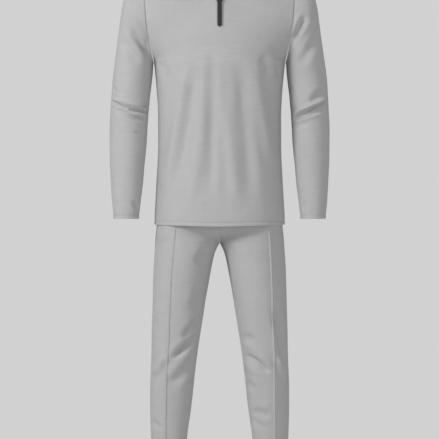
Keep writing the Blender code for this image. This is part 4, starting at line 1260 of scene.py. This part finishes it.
    def controls(self, row: np.ndarray, face: Face) -> np.ndarray:
        """Control points of the curves from the rise or inseam to the side seam, on the left leg.

        Args:
            row: places down the leg, counted in table rows.
            face: front or back.

        Returns:
            Control points as (rows, 4, 3).
        """
        hips, legs = np.array(self.hip_rows), np.array(self.leg_rows)
        pick = (1, 5, 3) if face is Face.FRONT else (2, 6, 4)
        hip_rise = np.stack([np.full(len(hips), self.half_gap), hips[:, pick[0]], hips[:, 0]], axis=-1)
        leg_rise = np.stack([legs[:, 1], np.full(len(legs), self.seam_y), legs[:, 0]], axis=-1)
        upper = through(hip_rise, np.minimum(row, self.crotch_row))
        lower = through(np.concatenate([hip_rise[-1:], leg_rise]), np.maximum(row - self.crotch_row, 0.0))
        rise = np.where((row > self.crotch_row)[:, None], lower, upper)
        rise[:, 0] = np.maximum(rise[:, 0], self.half_gap)
        rise[:, 1] += face.value * SEAM_GAP / 2 * smooth_step(self.crotch_row - 0.5, self.crotch_row, row)
        outer = np.concatenate([hips[:, [4, 3, pick[1]]], legs[:, [2, 0, pick[2]]]])
        x, z, depth = through(outer, row).T
        side = np.stack([x, np.full(len(row), self.seam_y + face.value * SEAM_GAP / 2), z], axis=-1)
        shares = np.concatenate([hips[:, 7], np.zeros(len(legs))])
        share = np.clip(through(shares, row), 0.0, 1.0)
        handles_y = (depth - CURVE_END * rise[:, 1] - CURVE_END * side[:, 1]) / CURVE_HANDLES
        rise_y = mix(handles_y / 2, rise[:, 1], share)
        near = np.stack([mix(rise[:, 0], side[:, 0] * self.fullness, share), rise_y,
                         mix(rise[:, 2], side[:, 2], 1 / 3)], axis=-1)
        far = np.stack([side[:, 0], handles_y - rise_y, mix(rise[:, 2], side[:, 2], 2 / 3)], axis=-1)
        return np.stack([rise, near, far, side], axis=1)

    def tuck_x(self, z: np.ndarray, side: Side) -> np.ndarray:
        """Width of the pintuck's line at some heights."""
        line = np.array(self.right_tuck if side is Side.RIGHT else self.left_tuck)
        return np.interp(z, line[:, 0], line[:, 1])

    def stops(self, controls: np.ndarray, face: Face, side: Side) -> np.ndarray:
        """Column places along each row, close together at the seams and over the pintuck.

        Args:
            controls: the rows' control points.
            face: front or back.
            side: the wearer's side.

        Returns:
            Places from 0 to 1, as (rows, columns).
        """
        if face is Face.BACK:
            even = stations(self.panel_width, SEAM_STEPS, SEAM_STEPS) / self.panel_width
            return np.repeat(even[None], len(controls), axis=0)
        x = self.tuck_x(bezier(controls, np.full((len(controls), 1), 0.5))[:, 0, 2], side)
        offsets = np.array(self.tuck_columns) * MM
        tuck = np.stack([stop_at_x(controls, x + offset) for offset in offsets], axis=1)
        inner = stations(self.inner_width, SEAM_STEPS, (0.0,))[:-1] / self.inner_width
        outer = stations(self.outer_width, (0.0,), SEAM_STEPS)[1:] / self.outer_width
        return np.concatenate([tuck[:, :1] * inner, tuck, mix(tuck[:, -1:], 1.0, outer)], axis=1)

    def panel(self, face: Face, side: Side) -> tuple[bpy.types.Object, Patch]:
        """One panel, folded, with its seams, pintuck and hem.

        Args:
            face: front or back.
            side: the wearer's side.

        Returns:
            The piece and its cloth.
        """
        whole = self.controls(np.arange(float(len(self.hip_rows) + len(self.leg_rows))), face)
        row = row_numbers(stations(table_length(whole), SEAM_STEPS, HEM_STEPS), whole)
        controls = self.controls(row, face)
        places = bezier(controls, self.stops(controls, face, side))
        from_tuck = places[..., 0] - self.tuck_x(places[..., 2], side)
        places[..., 0] *= side.value
        patch = Patch(places, face.value * side.value)
        from_rise, from_side, from_top, from_hem = patch.from_edges()
        seam = np.minimum(from_rise, from_side)
        fade = smooth_step(0.0, self.seam_fade, seam) * smooth_step(0.0, self.top_fade, from_top)
        folds = {
            (Face.FRONT, Side.RIGHT): self.right_front, (Face.FRONT, Side.LEFT): self.left_front,
            (Face.BACK, Side.RIGHT): self.right_back, (Face.BACK, Side.LEFT): self.left_back,
        }[face, side]
        patch.fold(folds, folds, fade * self.fold_gain)
        patch.slacken(fade, self.seed * side.value + face.value)
        relief = seam_dip(seam, *self.seam) + hem_relief(from_hem)
        if face is Face.FRONT:
            slope = smooth_step(self.tuck_flat, self.tuck_foot, np.abs(from_tuck))
            relief += self.tuck_height * (1.0 - slope)
        patch.push(relief)
        shape = Shape()
        shape.add_patch(patch)
        shape.close_seams()
        name = f"trouser_{face.name.lower()}_{side.word}"
        piece = shape.finish(name, KNIT, Slot.KNIT)
        thicken(piece, WALL, RIM)
        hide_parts(f"leg_{face.name.lower()}_{side.word}")
        return piece, patch

    def waistband(self) -> bpy.types.Object:
        """Elastic band with fine gathers, on the panels' top edges.

        Returns:
            The piece.
        """
        t = np.linspace(0.0, 1.0, self.band_curve_steps)[None]
        top = np.zeros(1)
        front = bezier(self.controls(top, Face.FRONT), t)[0]
        back = bezier(self.controls(top, Face.BACK), t)[0]
        left = np.concatenate([front, back[::-1]])
        around = np.concatenate([left, (left * np.array([-1.0, 1.0, 1.0]))[::-1]])
        around = np.concatenate([around, around[:1]])
        spans = np.linalg.norm(np.diff(around, axis=0), axis=-1)
        walked = np.concatenate([[0.0], np.cumsum(spans)])
        even = np.linspace(0.0, walked[-1], self.band_steps + 1)
        edge = np.stack([np.interp(even, walked, around[:, k]) for k in range(3)], axis=-1)
        height = self.band_top - edge[0, 2] - SEAM_GAP
        rise = stations(height, SEAM_STEPS, SEAM_STEPS)[:, None]
        lean = mix(1.0, self.band_lean, rise / height)
        places = np.stack([edge[None, :, 0] * lean, edge[None, :, 1] * lean,
                           edge[None, :, 2] + SEAM_GAP + rise], axis=-1)
        patch = Patch(places, 1)
        shift = self.gather_shift * np.sin(even * self.gather_drift)
        gathers = np.sin(even * math.tau / self.gather_pitch + shift)
        bulge = smooth_step(0.0, self.gather_fade, np.minimum(rise, height - rise))
        patch.push(self.gather_height * gathers[None] * bulge)
        patch.places[:, -1] = patch.places[:, 0]
        shape = Shape()
        shape.add_patch(patch)
        shape.close_seams()
        piece = shape.finish("trouser_waistband", KNIT, Slot.KNIT)
        thicken(piece, self.band_wall, self.band_rim)
        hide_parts("waistband")
        return piece

    def build(self) -> None:
        """Builds the trousers' cloth and stitching."""
        for face, cut in ((Face.FRONT, self.front_cut), (Face.BACK, self.back_cut)):
            for side in Side:
                piece, patch = self.panel(face, side)
                stitches = sew_hem(f"{piece.name}_hem_stitches", [patch], from_start=False)
                cut.state(piece, Hold.HUNG, ["trouser_waistband"], [stitches])
        self.band_cut.state(self.waistband(), Hold.GATHERED, ["trouser_front_left", "trouser_back_left"])


@dataclass
class Collar:
    """Stand collar round the neckline, open at the front."""

    height: float = 0.058
    lean: float = 0.12
    spread: float = 0.012
    spread_share: float = 0.6
    wall: float = 2.6 * MM
    rim: float = 0.9 * MM
    girth: float = 0.45
    edge_stitches: float = 6 * MM
    top_stitches: float = 5 * MM
    stitch_dip: float = 0.3 * MM
    seed: float = 1.3
    slack: float = 0.6 * MM
    slack_fade: float = 10 * MM
    cut: Cut = Cut(0.46, 0.058, 0.0255)

    def places(self, share: np.ndarray, rise: np.ndarray) -> np.ndarray:
        """Points of the collar's outer side.

        Args:
            share: places round it, 0 at the left front edge, 2 at the back's middle, 4 at the right edge.
            rise: heights above its base seam.

        Returns:
            Points as (rises, shares, 3).
        """
        half = np.minimum(share, 4.0 - share)
        front = NECKLINE.points(np.minimum(half, 1.0), Face.FRONT)
        back = NECKLINE.points(np.clip(2.0 - half, 0.0, 1.0), Face.BACK)
        base = np.where((half > 1.0)[:, None], back, front)
        way = np.where(share > 2.0, -1.0, 1.0)
        base[:, 0] *= way
        outward = base - np.array([0.0, NECKLINE.seam_y, 0.0])
        outward[:, 2] = 0.0
        outward /= np.linalg.norm(outward, axis=1, keepdims=True)
        up = np.array([0.0, 0.0, 1.0]) - outward * self.lean
        spread = self.spread * (1.0 - smooth_step(0.0, self.spread_share, half)) * way
        height = rise[:, None, None]
        points = base[None] + up[None] * (height + SEAM_GAP)
        points[..., 0] += spread[None] * rise[:, None] / self.height
        return points

    def build(self) -> None:
        """Builds the collar with a stitched line below its top and one beside each front edge."""
        share = stations(self.girth, SEAM_STEPS, SEAM_STEPS) / self.girth * 4.0
        share = np.unique(np.concatenate([share, [2.0]]))
        rise = stations(self.height, SEAM_STEPS, SEAM_STEPS)
        patch = Patch(self.places(share, rise), 1)
        if patch.outward()[0, len(share) // 2, 1] < 0:
            patch.sign = -1
        from_left, from_right, from_base, from_top = patch.from_edges()
        edge = np.minimum(from_left, from_right)
        from_seams = np.minimum(edge, from_base)
        patch.slacken(smooth_step(0.0, self.slack_fade, from_seams), self.seed, self.slack)
        stitched = np.exp(-(((edge - self.edge_stitches) / STITCH_SPREAD) ** 2))
        patch.push(seam_dip(from_base) - self.stitch_dip * stitched)
        shape = Shape()
        shape.add_patch(patch)
        shape.close_seams()
        piece = shape.finish("stand_collar", KNIT, Slot.KNIT)
        thicken(piece, self.wall, self.rim)
        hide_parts("collar")
        stitching = Shape()
        normals = patch.outward()
        near = int(np.argmin(np.abs(from_top.mean(axis=1) - self.top_stitches)))
        stitching.sew(patch.places[near], normals[near])
        for from_edge in (from_left, from_right):
            column = int(np.argmin(np.abs(from_edge[0] - self.edge_stitches)))
            stitching.sew(patch.places[:, column], normals[:, column])
        stitches = stitching.finish("collar_stitches", THREAD, Slot.KNIT)
        self.cut.state(piece, Hold.HUNG, ["pullover_front", "pullover_back"], [stitches])


def plate(shape: Shape, outline: Sequence[tuple[float, float]], corner: float, low: float, high: float,
          holes: Sequence[Sequence[tuple[float, float]]] = (), hole_corner: float = 0.0) -> None:
    """Adds a flat plate with rounded corners, upright in X and Z.

    Args:
        shape: the shape that it is added to.
        outline: its corners.
        corner: the corners' rounding.
        low: its front, along Y.
        high: its back, along Y.
        holes: corners of the openings through it.
        hole_corner: the openings' rounding.
    """
    made = bmesh.new()
    for corners, rounding in [(outline, corner)] + [(hole, hole_corner) for hole in holes]:
        ring = [made.verts.new((x, low, z)) for x, z in corners]
        made.faces.new(ring)
        bmesh.ops.bevel(made, geom=ring, offset=rounding, segments=5, profile=0.5, affect="VERTICES",
                        material=-1)
    bmesh.ops.delete(made, geom=made.faces[:], context="FACES_ONLY")
    bmesh.ops.triangle_fill(made, edges=made.edges[:], use_beauty=True, normal=(0.0, -1.0, 0.0))
    grown = bmesh.ops.extrude_face_region(made, geom=made.faces[:])["geom"]
    moved = [item for item in grown if isinstance(item, bmesh.types.BMVert)]
    bmesh.ops.translate(made, verts=moved, vec=(0.0, high - low, 0.0))
    bmesh.ops.recalc_face_normals(made, faces=made.faces)
    add_mesh(shape, made)


def add_mesh(shape: Shape, other: bmesh.types.BMesh) -> None:
    """Adds a finished bmesh to a shape.

    Args:
        shape: the shape that it is added to.
        other: the bmesh, which is freed.
    """
    carried = bpy.data.meshes.new("carried")
    other.to_mesh(carried)
    other.free()
    shape.mesh.from_mesh(carried)
    bpy.data.meshes.remove(carried)


@dataclass
class ZipLine:
    """Zip in the slit: two woven tapes with their coils, the slider and its long pull."""

    tilt: float = -math.atan2(0.0370, 0.1000)
    slit_bottom: float = -0.179
    tape_outer: float = 8.5 * MM
    tape_wall: float = 1.0 * MM
    behind_body: float = WALL + 0.7 * MM
    behind_collar: float = 3.3 * MM
    tooth_pitch: float = 1.55 * MM
    plate_half_width: float = 4.3 * MM
    plate_top: float = -6.2 * MM
    plate_bottom: float = -17.6 * MM
    front_plate: tuple[float, float] = (-2.1 * MM, -0.5 * MM)
    back_plate: tuple[float, float] = (3.7 * MM, 4.7 * MM)
    plate_corner: float = 0.8 * MM
    shield_inset: float = 1.4 * MM
    shield_rise: float = 3.6 * MM
    post_half_width: float = 0.8 * MM
    post_bottom: float = -9.4 * MM
    post_top: float = -7.0 * MM
    post_corner: float = 0.3 * MM
    sunk: float = 0.4 * MM
    metal_edge: float = 0.25 * MM
    bail: tuple[float, float] = (-16.8 * MM, -8.6 * MM)
    bail_outer: float = -6.6 * MM
    bail_inner: float = -5.4 * MM
    bail_wall: float = 1.2 * MM
    bail_inside: float = 1.6 * MM
    bail_bend: float = 0.4 * MM
    bail_half_width: float = 1.1 * MM
    bail_width: float = 2.2 * MM
    hinge: tuple[float, float] = (-4.0 * MM, -12.8 * MM)
    pull_tilt: float = math.radians(1.0)
    pull_thickness: float = 2.2 * MM
    pull_length: float = 91.0 * MM
    tab_half_width: float = 6.0 * MM
    head_half_width: float = 9.3 * MM
    head_length: float = 20.5 * MM
    head_taper: float = 4.5 * MM
    pull_top: float = 0.8 * MM
    window_half_width: float = 3.2 * MM
    window_length: float = 15.5 * MM
    hole_up: float = 4.1 * MM
    hole_radius: float = 2.0 * MM
    bar_radius: float = 0.9 * MM
    bar_overlap: float = 3.0 * MM
    pull_corner: float = 2.8 * MM
    hole_corner: float = 1.4 * MM
    plastic_edge: float = 0.5 * MM
    slit_steps: int = 16
    collar_steps: int = 12
    below_slit: float = 0.25
    below_neck: float = 0.08
    body_ways: tuple[float, float] = (0.0, 1 / 9)
    collar_ways: tuple[float, float] = (0.0, 0.2)
    line_steps: int = 100
    tape_columns: int = 7
    tape_rim: float = 0.25 * MM
    softening_rounds: int = 6
    reach_heights: tuple[float, ...] = (-0.185, -0.095, -0.078, -0.060)
    reaches: tuple[float, ...] = (-2.4, -2.4, -1.4, -2.0)
    closed_lap: float = 0.3
    open_lap: float = 1.2
    tooth_out: float = 0.35
    tooth_sizes: tuple[float, float, float] = (1.35 * MM, 0.5 * MM, 0.55 * MM)
    cut: Cut = Cut(0.0107, 0.19, 0.00203)

    @property
    def place(self) -> Matrix:
        """Place of the slider's own frame: the front neck point, turned along the slit."""
        spot = Vector((0.0, NECKLINE.front_y, -NECKLINE.front_drop))
        return Matrix.Translation(spot) @ Matrix.Rotation(self.tilt, 4, "X")

    def edge(self, pullover: Pullover, collar: Collar) -> tuple[np.ndarray, np.ndarray, np.ndarray]:
        """Line down which the left tape is sewn, from the slit's foot to the collar's top.

        Args:
            pullover: gives the slit's edge.
            collar: gives the collar's front edge.

        Returns:
            The line's points, its way across the tape, and its way inward.
        """
        rows = np.linspace(pullover.slit_row - self.below_slit, pullover.neck_row - self.below_neck,
                           self.slit_steps)
        controls = pullover.controls(rows, Face.FRONT)
        slit = bezier(controls, np.array([self.body_ways] * len(rows)))
        rises = np.linspace(0.0, collar.height, self.collar_steps)
        stand = collar.places(np.array(self.collar_ways), rises)
        body_points, collar_points = slit[:, 0], stand[:, 0]
        across = np.concatenate([slit[:, 1] - slit[:, 0], stand[:, 1] - stand[:, 0]])
        across /= np.linalg.norm(across, axis=1, keepdims=True)
        along = np.concatenate([np.gradient(body_points, axis=0), np.gradient(collar_points, axis=0)])
        inward = np.cross(along, across)
        inward /= np.linalg.norm(inward, axis=1, keepdims=True)
        inward *= np.where(inward[:, 1:2] < 0, -1.0, 1.0)
        behind = np.concatenate([np.full(self.slit_steps, self.behind_body),
                                 np.full(self.collar_steps, self.behind_collar)])
        return np.concatenate([body_points, collar_points]) + inward * behind[:, None], across, inward

    def tapes(self, pullover: Pullover, collar: Collar) -> None:
        """Builds both tapes and the coils on their inner edges.

        Args:
            pullover: gives the slit's edge.
            collar: gives the collar's front edge.
        """
        line, across, inward = self.edge(pullover, collar)
        spans = np.linalg.norm(np.diff(line, axis=0), axis=-1)
        walked = np.concatenate([[0.0], np.cumsum(spans)])
        even = np.linspace(0.0, walked[-1], self.line_steps)

        def spread(values: np.ndarray) -> np.ndarray:
            """Values at even distances, softened along the line.

            Args:
                values: one row for each point of the line.

            Returns:
                One row for each even distance.
            """
            dense = np.stack([np.interp(even, walked, values[:, k]) for k in range(3)], axis=-1)
            for _ in range(self.softening_rounds):
                dense[1:-1] = (dense[:-2] + 2 * dense[1:-1] + dense[2:]) / 4
            return dense

        line, across, inward = spread(line), spread(across), spread(inward)
        reach = np.interp(line[:, 2], self.reach_heights, self.reaches) * MM
        slider_z = (self.place @ Vector((0.0, 0.0, (self.plate_top + self.plate_bottom) / 2))).z
        for side in Side:
            turn = np.array([side.value, 1.0, 1.0])
            width = np.linspace(0.0, 1.0, self.tape_columns)[None, :, None]
            start = line + across * reach[:, None]
            span = across[:, None] * width * (self.tape_outer - reach[:, None, None])
            places = (start[:, None] + span) * turn
            patch = Patch(places, 1)
            if patch.outward()[self.line_steps // 2, self.tape_columns // 2, 1] > 0:
                patch.sign = -1
            shape = Shape()
            shape.add_patch(patch)
            piece = shape.finish(f"zip_tape_{side.word}_woven", TAPE, Slot.TAPE)
            thicken(piece, self.tape_wall, self.tape_rim)
            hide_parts(f"zip_tape_{side.word}")
            coil = Shape()
            shift = 0.0 if side is Side.LEFT else self.tooth_pitch / 2
            for distance in np.arange(4 * MM + shift, even[-1] - 2 * MM, self.tooth_pitch):
                spot = np.stack([np.interp(distance, even, start[:, k]) for k in range(3)])
                way = np.stack([np.interp(distance, even, across[:, k]) for k in range(3)])
                out = -np.stack([np.interp(distance, even, inward[:, k]) for k in range(3)])
                lap = self.closed_lap if spot[2] < slider_z else self.open_lap
                middle = (spot + way * lap * MM + out * self.tooth_out * MM) * turn
                coil.add_bead(middle, way * turn, out * turn, self.tooth_sizes)
            bmesh.ops.recalc_face_normals(coil.mesh, faces=coil.mesh.faces)
            teeth = coil.finish(f"zip_coil_{side.word}", COIL, Slot.TAPE)
            self.cut.state(piece, Hold.HUNG, ["pullover_front", "stand_collar"], [teeth])

    def slider(self) -> None:
        """Builds the slider: two plates, the post between them and the bail that holds the pull."""
        shape = Shape()
        half, low, high = self.plate_half_width, self.plate_bottom, self.plate_top
        narrow, rise = half - self.shield_inset, low + self.shield_rise
        shield = [(-narrow, low), (narrow, low), (half, rise), (half, high), (-half, high), (-half, rise)]
        plate(shape, shield, self.plate_corner, *self.front_plate)
        plate(shape, shield, self.plate_corner, *self.back_plate)
        width, bottom, top = self.post_half_width, self.post_bottom, self.post_top
        post = [(-width, bottom), (width, bottom), (width, top), (-width, top)]
        plate(shape, post, self.post_corner, self.front_plate[1] - self.sunk, self.back_plate[0] + self.sunk)
        self.add_bail(shape)
        shape.mesh.transform(self.place)
        piece = shape.finish("zip_slider_body", PAINTED_METAL, Slot.SLIDER, sharp=HARD_EDGE)
        self.soften(piece, self.metal_edge)
        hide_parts("zip_slider")
        LOG.info("made %s", piece.name)

    def add_bail(self, shape: Shape) -> None:
        """Adds the bent strip that bridges the slider's front plate.

        Args:
            shape: the slider's shape.
        """
        made = bmesh.new()
        foot, outer, inner = self.front_plate[0] + self.sunk, self.bail_outer, self.bail_inner
        low, high = self.bail
        wall, bend, inside = self.bail_wall, self.bail_bend, self.bail_inside
        strip = [(foot, low), (outer + wall, low), (outer, low + wall), (outer, high - wall),
                 (outer + wall, high), (foot, high), (foot, high - wall), (inner + bend, high - wall),
                 (inner, high - inside), (inner, low + inside), (inner + bend, low + wall),
                 (foot, low + wall)]
        ring = [made.verts.new((-self.bail_half_width, y, z)) for y, z in strip]
        made.faces.new(ring)
        grown = bmesh.ops.extrude_face_region(made, geom=made.faces[:])["geom"]
        moved = [item for item in grown if isinstance(item, bmesh.types.BMVert)]
        bmesh.ops.translate(made, verts=moved, vec=(self.bail_width, 0.0, 0.0))
        bmesh.ops.triangulate(made, faces=made.faces[:])
        bmesh.ops.recalc_face_normals(made, faces=made.faces)
        add_mesh(shape, made)

    def soften(self, piece: bpy.types.Object, width: float) -> None:
        """Rounds a hard piece's edges a little and keeps its flats flat.

        Args:
            piece: the hard piece.
            width: the rounding's width.
        """
        bevel = piece.modifiers.new("edges", "BEVEL")
        bevel.width = width
        bevel.segments = 2
        bevel.limit_method = "ANGLE"
        bevel.angle_limit = SOFTENED_ANGLE
        flats = piece.modifiers.new("flats", "WEIGHTED_NORMAL")
        flats.keep_sharp = False

    def pull(self) -> None:
        """Builds the long pull with its windowed head, end hole and hinge bar."""
        shape = Shape()
        half, head = self.tab_half_width, self.head_half_width
        bottom, neck = self.pull_top - self.pull_length, self.pull_top - self.head_length
        window, top = self.window_half_width, self.pull_top
        outline = [(-half, bottom), (half, bottom), (half, neck), (head, neck + self.head_taper),
                   (head, top), (window, top), (window, -self.window_length),
                   (-window, -self.window_length), (-window, top), (-head, top),
                   (-head, neck + self.head_taper), (-half, neck)]
        radius, middle = self.hole_radius, bottom + self.hole_up
        hole = [(-radius, middle - radius), (radius, middle - radius), (radius, middle + radius),
                (-radius, middle + radius)]
        plate(shape, outline, self.pull_corner, -self.pull_thickness / 2, self.pull_thickness / 2, (hole,),
              self.hole_corner)
        bar_length = 2 * self.window_half_width + self.bar_overlap
        bmesh.ops.create_cone(shape.mesh, cap_ends=True, segments=20, radius1=self.bar_radius,
                              radius2=self.bar_radius, depth=bar_length,
                              matrix=Matrix.Rotation(math.pi / 2, 4, "Y"))
        hinge = Matrix.Translation((0.0, *self.hinge)) @ Matrix.Rotation(self.pull_tilt, 4, "X")
        shape.mesh.transform(self.place @ hinge)
        piece = shape.finish("zip_pull_tab", BLACK_PLASTIC, Slot.PULL, Body.PULL, sharp=HARD_EDGE)
        self.soften(piece, self.plastic_edge)
        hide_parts("zip_pull")
        LOG.info("made %s", piece.name)

    def build(self, pullover: Pullover, collar: Collar) -> None:
        """Builds the whole zip.

        Args:
            pullover: gives the slit's edge.
            collar: gives the collar's front edge.
        """
        self.tapes(pullover, collar)
        self.slider()
        self.pull()


@dataclass
class Studio:
    """Pale floor, soft light and the camera."""

    floor_z: float = -1.60
    floor_radius: float = 4.2
    distance: float = 24.0
    frame_width: float = 1.207
    middle: tuple[float, float] = (-0.0004, -0.7054)
    sensor: float = 36.0
    background: float = 0.638
    ambient: float = 0.42

    def floor(self) -> None:
        """Lays the pale floor."""
        shape = bmesh.new()
        bmesh.ops.create_circle(shape, cap_ends=True, segments=96, radius=self.floor_radius,
                                matrix=Matrix.Translation((0.0, 0.0, self.floor_z)))
        mesh = bpy.data.meshes.new("studio_floor")
        shape.to_mesh(mesh)
        shape.free()
        mesh.materials.append(PALE_FLOOR.material())
        made = bpy.data.objects.new("studio_floor", mesh)
        bpy.context.collection.objects.link(made)

    def light(self, name: str, place: tuple[float, float, float], size: float, power: float) -> None:
        """Hangs one soft light that faces the garment's middle.

        Args:
            name: the light's name.
            place: where it hangs.
            size: its width and height.
            power: its power in watts.
        """
        lamp = bpy.data.lights.new(name, "AREA")
        lamp.size = size
        lamp.energy = power
        made = bpy.data.objects.new(name, lamp)
        made.location = place
        aim = Vector((0.0, 0.0, self.middle[1])) - Vector(place)
        made.rotation_euler = aim.to_track_quat("-Z", "Y").to_euler()
        made.visible_camera = False
        bpy.context.collection.objects.link(made)

    def surroundings(self) -> None:
        """Plain grey behind the garment, and even light from all round."""
        world = bpy.data.worlds.new("studio")
        world.use_nodes = True
        graph = Graph(world.node_tree)
        seen = graph.add("Background", {"Color": (1.0, 1.0, 1.0, 1.0), "Strength": self.background})
        even = graph.add("Background", {"Color": (1.0, 1.0, 1.0, 1.0), "Strength": self.ambient})
        ray = graph.add("LightPath")
        chosen = graph.add("MixShader", {0: ray.outputs["Is Camera Ray"], 1: even.outputs[0],
                                         2: seen.outputs[0]})
        graph.add("OutputWorld", {"Surface": chosen.outputs[0]})
        bpy.context.scene.world = world

    def camera(self) -> None:
        """Sets the camera straight in front of the garment."""
        lens = bpy.data.cameras.new("camera")
        lens.sensor_width = self.sensor
        lens.lens = self.sensor * self.distance / self.frame_width
        lens.clip_end = 60.0
        made = bpy.data.objects.new("camera", lens)
        made.location = (self.middle[0], -self.distance, self.middle[1])
        made.rotation_euler = (math.pi / 2, 0.0, 0.0)
        bpy.context.collection.objects.link(made)
        bpy.context.scene.camera = made

    def build(self) -> None:
        """Sets up the studio."""
        self.floor()
        self.light("key_light", (-3.5, -2.7, 1.8), 1.3, 160.0)
        self.light("fill_light", (1.6, -5.0, -0.6), 2.4, 75.0)
        self.surroundings()
        self.camera()
        bpy.context.scene.view_settings.view_transform = "Standard"


def main() -> None:
    """Builds the studio and the pieces in order."""
    logging.basicConfig(level=logging.INFO, format="%(message)s")
    pullover, collar = Pullover(), Collar()
    Studio().build()
    pullover.build()
    collar.build()
    ZipLine().build(pullover, collar)
    Trousers().build()
    LOG.info("all pieces made")


if __name__ == "__main__":
    main()
